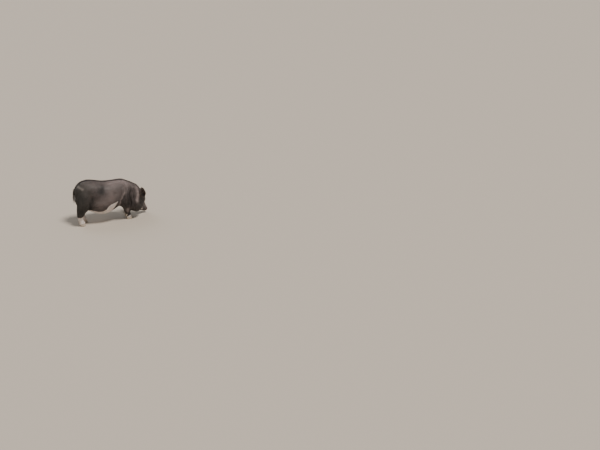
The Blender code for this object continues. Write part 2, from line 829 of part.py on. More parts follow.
def build():
    """Makes every named part and stands the pig over the origin."""
    for old in list(bpy.data.objects):
        bpy.data.objects.remove(old)

    parts = parted_body()
    made = {}
    head = parts["head"]
    for side in (1, -1):
        head = cut(head, eyeball(side, EYE_RADIUS + GAP), "DIFFERENCE")
        head = cut(head, placed(nostril(side), HEAD_PLACE), "DIFFERENCE")
    head = cut(head, placed(mouth_groove(), HEAD_PLACE), "DIFFERENCE")

    for side, side_name in ((1, "left"), (-1, "right")):
        cup = cut(ear(side), grown(head, GAP), "DIFFERENCE")
        made["ear_" + side_name] = cut(cup, grown(parts["neck"], GAP), "DIFFERENCE")
        made["eye_" + side_name] = eyeball(side, EYE_RADIUS)
    made["tail"] = cut(tail(), grown(parts["torso"], GAP), "DIFFERENCE")
    for leg_name, foot in FEET.items():
        for where, inner_or_outer in (("outer", 1), ("inner", -1)):
            made["claw_" + leg_name + "_" + where] = claw(foot, inner_or_outer)
            small = cut(dewclaw(foot, inner_or_outer), grown(parts[leg_name], GAP), "DIFFERENCE")
            made["dewclaw_" + leg_name + "_" + where] = small
    parts["head"] = head
    made.update(parts)

    finishes = {
        "eye": skin_material("dark_eye", (0.012, 0.008, 0.006), 0.12),
        "claw": skin_material("pale_horn", (0.52, 0.42, 0.33), 0.45),
        "dewclaw": skin_material("pale_horn_small", (0.48, 0.38, 0.30), 0.45),
        "tail": skin_material("tail_skin", (0.05, 0.045, 0.042), 0.6),
    }
    charcoal = skin_material("charcoal_skin", (0.048, 0.042, 0.040), 0.55)
    stand = bpy.data.objects.new("stand", None)
    bpy.context.scene.collection.objects.link(stand)
    corners = [vert.co for mesh in made.values() for vert in mesh.verts]
    low = Vector([min(corner[axis] for corner in corners) for axis in range(3)])
    high = Vector([max(corner[axis] for corner in corners) for axis in range(3)])
    stand.location = (-(low.x + high.x) / 2, -(low.y + high.y) / 2, -low.z)
    for name, mesh in made.items():
        material = finishes.get(name.split("_")[0], charcoal)
        piece = make_object(name, mesh, material)
        piece.parent = stand
        finish(piece, radians(40))


build()
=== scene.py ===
"""A young pot-bellied pig at life size, dressed over its solids and standing on a plain pale floor.

One skin takes the place of the solids of flesh. It has its folds, lids and wrinkles, and the same white
feet and white belly as the bristles that grow from it. Eyes, lashes, claws and the hair of the tail are
pieces of their own.
"""

from collections import namedtuple
from math import cos, pi, radians, sin, tau

import bmesh
import bpy
import numpy as np
from mathutils import Matrix, Vector
from mathutils.bvhtree import BVHTree


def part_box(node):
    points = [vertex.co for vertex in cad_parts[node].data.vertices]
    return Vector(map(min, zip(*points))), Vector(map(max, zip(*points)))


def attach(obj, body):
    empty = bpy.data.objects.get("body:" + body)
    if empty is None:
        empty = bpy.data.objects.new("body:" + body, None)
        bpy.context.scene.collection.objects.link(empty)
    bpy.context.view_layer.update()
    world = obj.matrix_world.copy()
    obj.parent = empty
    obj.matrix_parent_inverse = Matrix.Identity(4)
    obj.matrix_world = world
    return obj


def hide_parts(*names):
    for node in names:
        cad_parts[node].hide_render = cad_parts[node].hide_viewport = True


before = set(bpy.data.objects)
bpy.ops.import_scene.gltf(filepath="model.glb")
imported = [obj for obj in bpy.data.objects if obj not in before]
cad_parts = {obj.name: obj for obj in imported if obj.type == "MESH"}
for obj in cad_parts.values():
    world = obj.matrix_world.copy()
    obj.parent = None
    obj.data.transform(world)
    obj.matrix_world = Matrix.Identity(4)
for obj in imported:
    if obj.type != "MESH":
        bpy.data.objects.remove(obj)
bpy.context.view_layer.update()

# The head's place in the pig's own frame, and eyes and mouth in the head's: x to the nose, z to the forehead
SKULL_BACK = Vector((0.183, -0.009, 0.154))
FACE_DOWN = radians(55)
FACE_LEFT = radians(37)
EYE_PLACE = Vector((0.078, 0.0255, 0.0155))
EYE_FACING = Vector((0.32, 0.84, 0.42))
EYE_RADIUS = 0.0078
NOSE_DISC_START = 0.1545
MOUTH_SIDE = [
    (0.1445, 0.0000, -0.0165),
    (0.1415, 0.0070, -0.0165),
    (0.1330, 0.0125, -0.0160),
    (0.1200, 0.0160, -0.0152),
    (0.1050, 0.0200, -0.0144),
    (0.0930, 0.0240, -0.0130),
]

# Camera of the photo: a 50 mm lens on a frame 36 mm wide, held at a grown-up's height, and the floor
LENS_MM = 50.0
FRAME_WIDTH_MM = 36.0
CAMERA_PLACE = Vector((-1.195, -4.853, 1.700))
CAMERA_DOWN = radians(19.62)
CAMERA_HEADING = radians(-27.63)
FLOOR_REACH = 60.0

# Skin: how far the solids grow to meet each other, its faces' size, the room it leaves for the coat, how
# often it is evened and softened, how near a solid ear its ears are, and where the finer face starts
OVERLAP = 0.00025
SKIN_VOXEL = 0.0015
COAT_DEPTH = 0.0006
EVENING_ROUNDS = 3
SOFTENING_ROUNDS = 40
EAR_REACH = 0.003
FACE_START = 0.020

# Folds: how many widths off its line a fold swells, and how far the skin bulges over the claws
RIDGE_DISTANCE = 2.1
CORONET_BULGE = 0.0028

# Coat at its darkest and at its lightest, lightened by dust and by painted light from above, and how much
# lighter the ears are
CHARCOAL = "#1a1514"
DUSTY_AND_LIT_GREY = "#938684"
EAR_LIGHTENING = 0.22

# Feet in the pig's own frame
FEET = {
    "hindleg_right": (-0.159, -0.033),
    "hindleg_left": (-0.132, 0.033),
    "foreleg_right": (0.130, -0.026),
    "foreleg_left": (0.136, 0.025),
}
FLESH = ["torso", "neck", "head", "ear_left", "ear_right", *FEET]

# White markings, in the pig's own frame: a small spot on the lower lip and the end of the tail
CHIN_SPOT = (0.227, 0.006, 0.038)
CHIN_SPOT_RADIUS = 0.0034
TAIL_TIP_RADIUS = 0.0042
TAIL_TIP_TOP = 0.171
NO_WHITE = -0.02
ALL_WHITE = 0.02

# Tail in the pig's own frame: the middle of its core and its radius
TAIL_LINE = [
    (-0.160, 0.0000, 0.2290, 0.0066),
    (-0.178, 0.0005, 0.2240, 0.0060),
    (-0.185, 0.0015, 0.2110, 0.0054),
    (-0.1875, 0.0030, 0.1940, 0.0045),
    (-0.1875, 0.0045, 0.1760, 0.0035),
    (-0.1860, 0.0055, 0.1620, 0.0024),
]
BRUSH_HAIRS = 420
BRUSH_LENGTH = 0.036
BRUSH_ROOT_RADIUS = 0.0022
BRUSH_DUST = 0.12

# Eyes: the opening of the lids as the solids have it, the folds round it by radius and depth, and the cornea
LID_HALF_LENGTH = 0.0092
LID_HALF_HEIGHT = 0.0054
LID_LEVEL = 0.0058
LID_FOLDS = [(0.0103, 0.0004), (0.0122, 0.0007), (0.0140, 0.0004), (0.0163, 0.0006), (0.0195, 0.0003)]
EYE_OVER_SOLID = 0.0004
CORNEA_RISE = 0.0004
CORNEA_RADIUS = 0.0052
LASHES = 70
LASH_WIDTH = 0.00026

# Claws, as the solids have them, and the rounding and rings of the horn
CLAW_LENGTH = 0.032
CLAW_WIDTH = 0.0150
CLAW_TOE_NARROWING = 0.55
CLAW_LEAN_BACK = 0.0035
CORONET_HEIGHT = 0.0165
CORONET_SLOPE = 0.22
CLAW_SOLE_ROUNDING = 0.10
CLAW_TAPER = 0.17
CLAW_TOP_ROUNDING = 0.22
CLAW_RING_DEPTH = 0.004
CLAW_RINGS = 5.5
CLAW_UNDER_CORONET = 0.0003
DEWCLAW_VOXEL = 0.0006

# Hairs: how they taper, how deep their roots sit, how far they stray from the lie of the coat, and their
# widths, which are drawn up to twice as thick as real bristle so that they show
TAPER = 1.5
ROOT_DEPTH = 0.0004
STRAY = 0.16
THIN = 0.00040
FINE = 0.00034

# Map for the baked colours: the coarse copy of the skin that is unwrapped, and the side of a hair's patch
BAKE_FACES = 6000
BAKE_ANGLE = radians(72)
BAKE_GAP = 0.004
BAKE_PATCH = 0.003


def linear(colour):
    """Linear red, green, blue and alpha of an sRGB colour such as "#a0b1c2"."""
    values = [int(colour[start:start + 2], 16) / 255 for start in (1, 3, 5)]
    return (*[v / 12.92 if v <= 0.04045 else ((v + 0.055) / 1.055) ** 2.4 for v in values], 1)


def middle(node):
    """The middle of a CAD node's box."""
    low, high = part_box(node)
    return (low + high) / 2


HEAD_TURN = Matrix.Rotation(FACE_LEFT, 4, "Z") @ Matrix.Rotation(FACE_DOWN, 4, "Y")
ORIGIN = middle("eye_left") - SKULL_BACK - HEAD_TURN.to_3x3() @ EYE_PLACE
HEAD_PLACE = Matrix.Translation(ORIGIN + SKULL_BACK) @ HEAD_TURN
TO_HEAD = np.array(HEAD_PLACE.inverted())


def pig_point(x, y, z):
    """A point given in the pig's own frame."""
    return ORIGIN + Vector((x, y, z))


def in_head(points):
    """Points in the head's own frame."""
    return points @ TO_HEAD[:3, :3].T + TO_HEAD[:3, 3]


def ramp(values, start, end):
    """0 below start and 1 above end, with a smooth step between."""
    part = np.clip((values - start) / (end - start), 0, 1)
    return part * part * (3 - 2 * part)


# Mesh


def placed(name, data):
    """A new object in the scene."""
    made = bpy.data.objects.new(name, data)
    bpy.context.scene.collection.objects.link(made)
    return made


def new_object(name, vertices, faces):
    """An object of a mesh of vertices and faces, shaded smooth."""
    mesh = bpy.data.meshes.new(name)
    mesh.from_pydata([tuple(vertex) for vertex in vertices], [], faces)
    mesh.shade_smooth()
    return placed(name, mesh)


def with_modifiers(made):
    """The object's mesh with its modifiers applied."""
    graph = bpy.context.evaluated_depsgraph_get()
    graph.update()
    mesh = bpy.data.meshes.new_from_object(made.evaluated_get(graph))
    made.modifiers.clear()
    made.data = mesh
    mesh.shade_smooth()
    return made


def coordinates(mesh):
    """The vertices' places as an array of one row each."""
    places = np.empty(len(mesh.vertices) * 3)
    mesh.vertices.foreach_get("co", places)
    return places.reshape(-1, 3)


def normals(mesh):
    """The vertices' normals as an array of one row each."""
    found = np.empty(len(mesh.vertices) * 3)
    mesh.vertex_normals.foreach_get("vector", found)
    return found.reshape(-1, 3)


def edge_pairs(mesh):
    """The two vertices of each edge."""
    pairs = np.empty(len(mesh.edges) * 2, int)
    mesh.edges.foreach_get("vertices", pairs)
    return pairs.reshape(-1, 2)


def set_coordinates(mesh, places):
    """Moves the vertices."""
    mesh.vertices.foreach_set("co", np.ascontiguousarray(places).ravel())
    mesh.update()


def set_attribute(mesh, name, values):
    """Stores one number for each vertex, for the materials to read."""
    mesh.attributes.new(name, "FLOAT", "POINT").data.foreach_set("value", np.asarray(values, np.float32))


def relaxed(places, edges, amount, rounds):
    """Vertices moved towards the mean of their neighbours, each by its own amount."""
    count = len(places)
    neighbours = np.bincount(edges.ravel(), minlength=count)[:, None]
    amount = np.broadcast_to(amount, count)[:, None]
    for _ in range(rounds):
        total = np.zeros_like(places)
        for axis in range(3):
            total[:, axis] = np.bincount(edges[:, 0], places[edges[:, 1], axis], count)
            total[:, axis] += np.bincount(edges[:, 1], places[edges[:, 0], axis], count)
        places = places + amount * (total / neighbours - places)
    return places


def ring_faces(rings, count):
    """The faces of a closed form whose vertices lie in rings, one after the other."""
    faces = []
    for low in range(0, (rings - 1) * count, count):
        high = low + count
        for step in range(count):
            after = (step + 1) % count
            faces.append((low + step, low + after, high + after, high + step))
    faces.append(tuple(reversed(range(count))))
    faces.append(tuple(range((rings - 1) * count, rings * count)))
    return faces


def tube(points, radii, count=16):
    """Vertices and faces of a closed round tube through points."""
    vertices = []
    centres = [Vector(point) for point in points]
    for index, centre in enumerate(centres):
        forward = centres[min(index + 1, len(centres) - 1)] - centres[max(index - 1, 0)]
        turn = forward.to_track_quat("Z", "Y")
        for step in range(count):
            angle = tau * step / count
            vertices.append(centre + turn @ Vector((cos(angle), sin(angle), 0)) * radii[index])
    return vertices, ring_faces(len(centres), count)


# Skin


def overlapping_flesh():
    """All the nodes of flesh and the core of the tail in one mesh, each grown a little over the gaps."""
    whole = bmesh.new()
    for name in FLESH:
        piece = bmesh.new()
        piece.from_mesh(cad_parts[name].data)
        bmesh.ops.remove_doubles(piece, verts=piece.verts, dist=1e-6)
        piece.normal_update()
        for vert in piece.verts:
            vert.co += vert.normal * OVERLAP
        scrap = bpy.data.meshes.new("scrap")
        piece.to_mesh(scrap)
        piece.free()
        whole.from_mesh(scrap)
        bpy.data.meshes.remove(scrap)
    vertices, faces = tube([pig_point(*row[:3]) for row in TAIL_LINE], [row[3] for row in TAIL_LINE])
    corners = [whole.verts.new(vertex) for vertex in vertices]
    for face in faces:
        whole.faces.new([corners[index] for index in face])
    mesh = bpy.data.meshes.new("hide")
    whole.to_mesh(mesh)
    whole.free()
    return placed("hide", mesh)


def near_ears(places):
    """1 on the ears and 0 elsewhere."""
    vertices, faces = [], []
    for name in ("ear_left", "ear_right"):
        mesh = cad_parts[name].data
        start = len(vertices)
        vertices += [vertex.co.copy() for vertex in mesh.vertices]
        faces += [tuple(start + index for index in face.vertices) for face in mesh.polygons]
    shells = BVHTree.FromPolygons(vertices, faces)
    head = in_head(places)
    found = np.zeros(len(places))
    around = (head[:, 2] > -0.03) & (abs(head[:, 0]) < 0.08) & (abs(head[:, 1]) > 0.02)
    for index in np.nonzero(around)[0]:
        found[index] = shells.find_nearest(Vector(places[index]), EAR_REACH)[0] is not None
    return found


def finer_head(made):
    """Divides the faces of the face and ears once more."""
    mesh = bmesh.new()
    mesh.from_mesh(made.data)
    places = coordinates(made.data)
    near = (in_head(places)[:, 0] > FACE_START) | (near_ears(places) > 0)
    edges = [edge for edge in mesh.edges if near[edge.verts[0].index] and near[edge.verts[1].index]]
    bmesh.ops.subdivide_edges(mesh, edges=edges, cuts=1, use_grid_fill=True)
    mesh.to_mesh(made.data)
    mesh.free()


Fold = namedtuple("Fold", "points width depth ridge")

# Creases of the right side in the pig's own frame, mirrored to the left: the line of each, its width and
# depth, and how high it swells beside its line
SIDE_FOLDS = [
    Fold([(0.112, -0.060, 0.205), (0.106, -0.074, 0.180), (0.094, -0.078, 0.158), (0.083, -0.075, 0.130),
          (0.075, -0.056, 0.104)], 0.0065, 0.0052, 0.8),
    Fold([(0.128, -0.050, 0.222), (0.123, -0.066, 0.190), (0.116, -0.072, 0.160), (0.108, -0.071, 0.135)],
         0.0042, 0.0026, 0.5),
    Fold([(0.141, -0.020, 0.237), (0.142, -0.049, 0.215), (0.138, -0.063, 0.181), (0.136, -0.066, 0.130),
          (0.139, -0.064, 0.090)], 0.0055, 0.0046, 0.5),
    Fold([(0.160, -0.030, 0.215), (0.164, -0.057, 0.188), (0.163, -0.065, 0.152), (0.157, -0.077, 0.111),
          (0.151, -0.064, 0.069)], 0.0055, 0.0044, 0.7),
    Fold([(0.186, -0.044, 0.196), (0.186, -0.054, 0.172), (0.181, -0.066, 0.138), (0.172, -0.077, 0.104)],
         0.0042, 0.0026, 0.9),
    Fold([(-0.090, -0.079, 0.190), (-0.098, -0.077, 0.169), (-0.105, -0.076, 0.150), (-0.112, -0.073, 0.132),
          (-0.114, -0.066, 0.112), (-0.105, -0.045, 0.092)], 0.0075, 0.0052, 0.4),
    Fold([(-0.060, -0.060, 0.083), (-0.080, -0.062, 0.095), (-0.100, -0.066, 0.112)], 0.0045, 0.0016, 0.4),
    Fold([(0.040, -0.080, 0.108), (0.060, -0.070, 0.112), (0.076, -0.060, 0.122)], 0.0045, 0.0020, 0.3),
]

# Broad hollows and swells of the right side, mirrored to the left: place, radius and how far out
SWELLS = [
    ((-0.040, -0.076, 0.219), 0.024, -0.0042),
    ((-0.045, -0.088, 0.125), 0.034, 0.0022),
    ((0.098, -0.072, 0.196), 0.022, 0.0020),
    ((0.176, -0.060, 0.168), 0.012, 0.0016),
]


def path_distance(places, points):
    """Each place's distance to a line through points, and how far along the line it lies from 0 to 1."""
    nearest = np.full(len(places), 1e9)
    along = np.zeros(len(places))
    corners = np.array(points, float)
    lengths = np.linalg.norm(np.diff(corners, axis=0), axis=1)
    before = np.concatenate([[0], np.cumsum(lengths)])
    for index, (start, end) in enumerate(zip(corners, corners[1:])):
        run = end - start
        part = np.clip((places - start) @ run / (run @ run), 0, 1)
        distance = np.linalg.norm(places - start - part[:, None] * run, axis=1)
        closer = distance < nearest
        nearest[closer] = distance[closer]
        along[closer] = (before[index] + part[closer] * lengths[index]) / before[-1]
    return nearest, along


def crease(places, fold):
    """How far a fold moves each place: in at its line and out beside it, more and less along the way."""
    distance, along = path_distance(places, fold.points)
    fade = np.sin(pi * np.clip(along, 0.0, 1.0)) ** 0.5 * (0.86 + 0.14 * np.sin(17 * along))
    inwards = np.exp(-(distance / fold.width) ** 2)
    outwards = np.exp(-((distance - RIDGE_DISTANCE * fold.width) / fold.width) ** 2)
    return fold.depth * fade * (fold.ridge * outwards - inwards)


def bent(own):
    """Places moved a few millimetres to and fro, so that a straight line drawn on them comes out wavy."""
    x, _, z = own.T
    shift = 0.0028 * np.sin(75 * z + 60 * x) + 0.0012 * np.sin(190 * z + 1)
    return own + np.stack([shift, 0 * x, 0 * x], axis=1)


def smooth_line(points, steps=6):
    """Points on a smooth curve through the given ones."""
    result = []
    rows = np.array(points, float)
    last = len(rows) - 1
    for index in range(last):
        a, b, c, d = (rows[min(max(index + offset, 0), last)] for offset in (-1, 0, 1, 2))
        for step in range(steps):
            t = step / steps
            result.append(0.5 * (2 * b + (c - a) * t + (2 * a - 5 * b + 4 * c - d) * t ** 2
                                 + (3 * b - a - 3 * c + d) * t ** 3))
    result.append(rows[last])
    return np.array(result)


def eye_centre(side):
    """The middle of an eye in the head's own frame."""
    return np.array((EYE_PLACE.x, side * EYE_PLACE.y, EYE_PLACE.z))


def eye_facing(side):
    """The way an eye looks, in the head's own frame."""
    return Vector((EYE_FACING.x, side * EYE_FACING.y, EYE_FACING.z)).normalized()


def upwards(side):
    """The way from an eye to its upper lid, in the head's own frame."""
    out = eye_facing(side)
    along = (Vector((1, 0, 0)) - out * out.x).normalized()
    return np.array(along.cross(out) * side)


def snout_wrinkles(x, y, z):
    """Moves for the wrinkles across the snout and its bridge and the groove behind the nose's disc."""
    uneven = 0.0014 * np.sin(y * 240 + 1.0) + 0.0008 * np.sin(x * 310 + y * 150)
    snout = ramp(x, 0.094, 0.106) * (1 - ramp(x, 0.143, 0.150)) * ramp(z, -0.014, 0.004)
    waves = np.cos(tau * (x + 8.0 * y ** 2 + uneven) / (0.0066 + 0.0012 * np.sin(x * 90)))
    moves = -0.00085 * snout * (0.5 + 0.5 * waves) ** 2.5
    bridge = ramp(x, 0.066, 0.080) * (1 - ramp(x, 0.096, 0.106)) * ramp(z, 0.010, 0.020)
    moves -= 0.00085 * bridge * (0.5 + 0.5 * np.cos(tau * (x - 12 * y ** 2 + uneven) / 0.0092)) ** 2
    behind_disc = np.exp(-((x - NOSE_DISC_START + 0.0008) / 0.0013) ** 2)
    return moves - 0.0009 * behind_disc * ramp(z, -0.016, -0.010)


def press_lids(moves, head, side):
    """Adds the folds round an eye and the swelling of its lids, the upper more than the lower."""
    away = head - eye_centre(side)
    facing = np.array(eye_facing(side))
    flat = away - (away @ facing)[:, None] * facing
    oval = np.hypot(flat[:, 0] * 0.78, np.hypot(flat[:, 1], flat[:, 2]))
    near = np.linalg.norm(away, axis=1) < 0.030
    ragged = oval + 0.0005 * np.sin(head[:, 0] * 900) + 0.0004 * np.sin(head[:, 2] * 1300 + 1)
    for radius, depth in LID_FOLDS:
        moves -= near * depth * np.exp(-((ragged - radius) / 0.0007) ** 2)
    upper = ramp(flat @ upwards(side), 0.000, 0.004)
    moves += near * (0.0002 + 0.0009 * upper) * np.exp(-((oval - 0.0088) / 0.0012) ** 2)


def press_mouth(moves, places, surface, side):
    """Adds one side of the line of the mouth, which fades towards its corner."""
    half = smooth_line(MOUTH_SIDE)
    line = [surface.find_nearest(HEAD_PLACE @ Vector((x, side * y, z)))[0] for x, y, z in half]
    distance, along = path_distance(places, line)
    moves -= 0.0017 * np.exp(-(distance / 0.0010) ** 2) * (1 - 0.7 * along ** 4)


def face_folds(places, surface):
    """Wrinkles of the snout, folds round the eyes and the line of the mouth, as moves along the normal."""
    head = in_head(places)
    moves = snout_wrinkles(*head.T)
    for side in (1, -1):
        press_lids(moves, head, side)
    for side in (1, -1):
        press_mouth(moves, places, surface, side)
    return moves


def add_folds(mesh):
    """Presses the folds of body and face into the skin and gives back how deep in one each place lies."""
    places = coordinates(mesh)
    own = places - np.array(ORIGIN)
    moves = np.zeros(len(places))
    wavy = bent(own)
    for side in (1, -1):
        for fold in SIDE_FOLDS:
            moves += crease(wavy * (1, side, 1), fold._replace(points=smooth_line(fold.points)))
        for place, radius, amount in SWELLS:
            distance = np.linalg.norm(own * (1, side, 1) - place, axis=1)
            moves += amount * np.exp(-(distance / radius) ** 2)
    moves += face_folds(places, BVHTree.FromPolygons([Vector(place) for place in places],
                                                     [tuple(face.vertices) for face in mesh.polygons]))
    folds = np.clip((-moves - 0.0012) / 0.0030, 0, 1)
    for x, y in FEET.values():
        above = own[:, 2] - CORONET_HEIGHT - CORONET_SLOPE * (own[:, 0] - x)
        foot = np.hypot(own[:, 0] - x, own[:, 1] - y) < 0.045
        moves += foot * CORONET_BULGE * np.exp(-((above - 0.0015) / 0.0035) ** 2)
    set_coordinates(mesh, places + normals(mesh) * moves[:, None])
    return folds


def white_reach(own):
    """How far inside the white markings each place lies, in metres, negative in the dark coat.

    They are the belly, up to a line that rises towards the shoulder, the four socks, the end of the tail and
    a spot on the lower lip.
    """
    x, y, z = own.T
    edge_x = [-0.125, -0.103, -0.080, -0.060, -0.032, -0.012, -0.004, 0.011, 0.031, 0.052, 0.070]
    edge_z = [0.088, 0.096, 0.091, 0.081, 0.085, 0.099, 0.114, 0.123, 0.131, 0.136, 0.138]
    belly = np.interp(x, edge_x, edge_z) - z
    belly = np.minimum(belly, 0.036 + 0.62 * (z - 0.100) - x)
    belly = np.minimum(belly, x + 0.112)
    belly = np.where(x < -0.085, np.minimum(belly, 0.050 - abs(y)), belly)
    belly = np.where(z > 0.050, belly, NO_WHITE)
    front = x > 0
    hind_right = 0.059 + 0.012 * ((x + 0.172) / 0.028) ** 2
    hind_left = 0.046 + 0.008 * ((x + 0.145) / 0.028) ** 2
    fore_right = 0.019 + 0.45 * (x - 0.121)
    fore_left = 0.030 + 0.20 * (x - 0.121)
    top = np.where(front, np.where(y < 0, fore_right, fore_left), np.where(y < 0, hind_right, hind_left))
    leg = ((abs(x - 0.133) < 0.045) & (z < 0.048)) | ((x < -0.09) & (z < 0.085) & (abs(y) > 0.012))
    sock = np.where(leg, top - z, NO_WHITE)
    tail_tip = TAIL_TIP_RADIUS - path_distance(own, [row[:3] for row in TAIL_LINE[-2:]])[0]
    tail_tip = np.minimum(tail_tip, TAIL_TIP_TOP - z)
    chin = CHIN_SPOT_RADIUS - np.linalg.norm((own - CHIN_SPOT) * (1, 0.7, 1), axis=1)
    return np.clip(np.maximum.reduce([belly, sock, tail_tip, chin]), NO_WHITE, ALL_WHITE)


Dust = namedtuple("Dust", "points radius amount")

# Where the coat of the right side is lighter, or darker where the amount is negative, mirrored to the left.
# Most patches are painted light and painted shade, and some are dust
DUST_AND_LIGHT = [
    # Painted light with some dust: the back over the shoulders, lit from above
    Dust([(0.040, -0.025, 0.252), (0.080, -0.025, 0.252), (0.118, -0.025, 0.246)], 0.034, 0.70),
    # Painted light from above on the upper and middle flank
    Dust([(-0.030, -0.050, 0.245), (0.030, -0.055, 0.240)], 0.040, 0.22),
    Dust([(-0.010, -0.085, 0.200), (0.060, -0.082, 0.200)], 0.036, 0.16),
    # Painted light on the bulge of the lower flank
    Dust([(-0.055, -0.086, 0.130), (-0.010, -0.088, 0.145), (0.030, -0.086, 0.165)], 0.034, 0.50),
    Dust([(-0.130, -0.020, 0.262), (-0.100, -0.040, 0.262)], 0.034, 0.22),
    # Painted highlight: the bright streak across the top of the rump
    Dust([(-0.162, -0.012, 0.246), (-0.155, -0.034, 0.242), (-0.141, -0.054, 0.234)], 0.0060, 0.95),
    Dust([(0.135, -0.045, 0.228), (0.165, -0.040, 0.212)], 0.022, 0.19),
    # Painted highlight: the bright streak along the crease behind the shoulder
    Dust([(0.103, -0.073, 0.182), (0.087, -0.078, 0.160), (0.074, -0.076, 0.133), (0.065, -0.053, 0.099)],
         0.0075, 0.66),
    # Painted highlight: the bright streak down the cheek beside the fold of the neck
    Dust([(0.192, -0.042, 0.192), (0.191, -0.055, 0.158), (0.182, -0.066, 0.124)], 0.0165, 0.87),
    Dust([(0.148, -0.066, 0.180), (0.148, -0.070, 0.140)], 0.008, 0.10),
    Dust([(0.108, -0.062, 0.208), (0.108, -0.068, 0.192)], 0.016, 0.24),
    # Painted light on the front of the foreleg
    Dust([(0.119, -0.060, 0.076), (0.121, -0.056, 0.046)], 0.010, 0.70),
    # Painted shade in the hollow of the flank before the hip
    Dust([(-0.024, -0.064, 0.238), (-0.034, -0.077, 0.212)], 0.020, -0.42),
    # Painted shade under the jowl
    Dust([(0.213, -0.050, 0.125), (0.225, -0.020, 0.085), (0.222, 0.010, 0.090)], 0.024, -0.30),
    # Painted shade along the crease of the thigh
    Dust([(-0.092, -0.079, 0.165), (-0.106, -0.076, 0.140), (-0.104, -0.055, 0.100)], 0.014, -0.12),
    # Painted shade on the side of the rump
    Dust([(-0.165, -0.050, 0.205), (-0.158, -0.070, 0.185)], 0.028, -0.10),
    Dust([(0.244, 0.010, 0.070), (0.262, 0.030, 0.045)], 0.016, 0.30),
    Dust([(0.226, 0.004, 0.044), (0.222, -0.004, 0.052)], 0.010, 0.34),
]


def dust_and_light_amount(own):
    """How light the coat is at each place, from 0 to 1: lighter with dust and wear, with painted light from
    above and painted highlights, and darker with painted shade.
    """
    # Painted light: lighter higher up the body, where the light from above falls, and painted shade low down
    dust = 0.10 + 0.14 * ramp(own[:, 2], 0.100, 0.220)
    for patch in DUST_AND_LIGHT:
        line = smooth_line(patch.points)
        nearest = np.minimum(path_distance(own, line)[0], path_distance(own * (1, -1, 1), line)[0])
        dust += patch.amount * np.exp(-(nearest / patch.radius) ** 2)
    return np.clip(dust, 0, 1)


def store_skin_facts(mesh, folds):
    """Stores for the hide's material where it is white, its dust with painted light and painted shade, and
    where it is folded, an ear, nose or lid.
    """
    places = coordinates(mesh)
    head = in_head(places)
    set_attribute(mesh, "white", white_reach(places - np.array(ORIGIN)))
    thin = np.repeat(near_ears(places)[:, None], 3, axis=1)
    ear = relaxed(thin, edge_pairs(mesh), 0.5, 6)[:, 0]
    set_attribute(mesh, "ear", ear)
    # The stored amount carries dust, painted light and painted shade
    set_attribute(mesh, "dust", dust_and_light_amount(places - np.array(ORIGIN)) + EAR_LIGHTENING * ear)
    set_attribute(mesh, "fold", folds)
    set_attribute(mesh, "nose", ramp(head[:, 0], NOSE_DISC_START - 0.0035, NOSE_DISC_START + 0.0005))
    eyes = [np.linalg.norm(head - eye_centre(side), axis=1) for side in (1, -1)]
    set_attribute(mesh, "lid", 1 - ramp(np.minimum(*eyes), 0.0095, 0.0135))


def make_skin():
    """The whole skin in one piece, in place of the solids of flesh, softest on the trunk."""
    hide = overlapping_flesh()
    remesh = hide.modifiers.new("skin", "REMESH")
    remesh.mode = "VOXEL"
    remesh.voxel_size = SKIN_VOXEL
    with_modifiers(hide)
    finer_head(hide)
    mesh = hide.data
    places = coordinates(mesh)
    edges = edge_pairs(mesh)
    head = in_head(places)
    own = places - np.array(ORIGIN)
    face = ramp(head[:, 0], 0.030, 0.050)
    ear = near_ears(places) > 0
    leg = 1 - ramp(own[:, 2], 0.060, 0.110)
    tail = (own[:, 0] < -0.176) & (abs(own[:, 1]) < 0.012) & (own[:, 2] < 0.228)
    soft = np.where(ear | tail, 0.0, 1 - np.maximum(face, 0.8 * leg))
    places = relaxed(places, edges, 0.5, EVENING_ROUNDS)
    places = relaxed(places, edges, 0.5 * soft, SOFTENING_ROUNDS)
    set_coordinates(mesh, places)
    set_coordinates(mesh, coordinates(mesh) - normals(mesh) * (OVERLAP + COAT_DEPTH * soft)[:, None])
    folds = add_folds(mesh)
    set_coordinates(mesh, relaxed(coordinates(mesh), edges, 0.3, 1))
    store_skin_facts(mesh, folds)
    return hide


# Materials


def add(tree, kind, inputs, output=0, **settings):
    """Adds a node, makes its settings, sets or links its inputs and gives back one of its outputs."""
    made = tree.nodes.new("ShaderNode" + kind)
    for name, value in settings.items():
        setattr(made, name, value)
    for key, value in inputs.items():
        if isinstance(value, bpy.types.NodeSocket):
            tree.links.new(value, made.inputs[key])
        else:
            made.inputs[key].default_value = value
    return made.outputs[output]


def new_material(name):
    """An empty material: its tree and shader, and the place on the object in metres."""
    material = bpy.data.materials.new(name)
    material.use_nodes = True
    tree = material.node_tree
    return material, tree, tree.nodes["Principled BSDF"], add(tree, "TexCoord", {}, "Object")


def white_mask(tree, place):
    """1 in the white markings and 0 outside, with an edge as ragged as hair makes it."""
    lumps = add(tree, "TexNoise", {"Vector": place, "Scale": 1 / 0.006, "Detail": 5, "Roughness": 0.65})
    ragged = add(tree, "MapRange", {0: lumps, 1: 0.3, 2: 0.7, 3: -0.004, 4: 0.004})
    reach = add(tree, "Attribute", {}, "Fac", attribute_name="white")
    field = add(tree, "Math", {0: reach, 1: ragged}, operation="ADD")
    return add(tree, "MapRange", {0: field, 1: -0.0012, 2: 0.0012}, interpolation_type="SMOOTHSTEP")


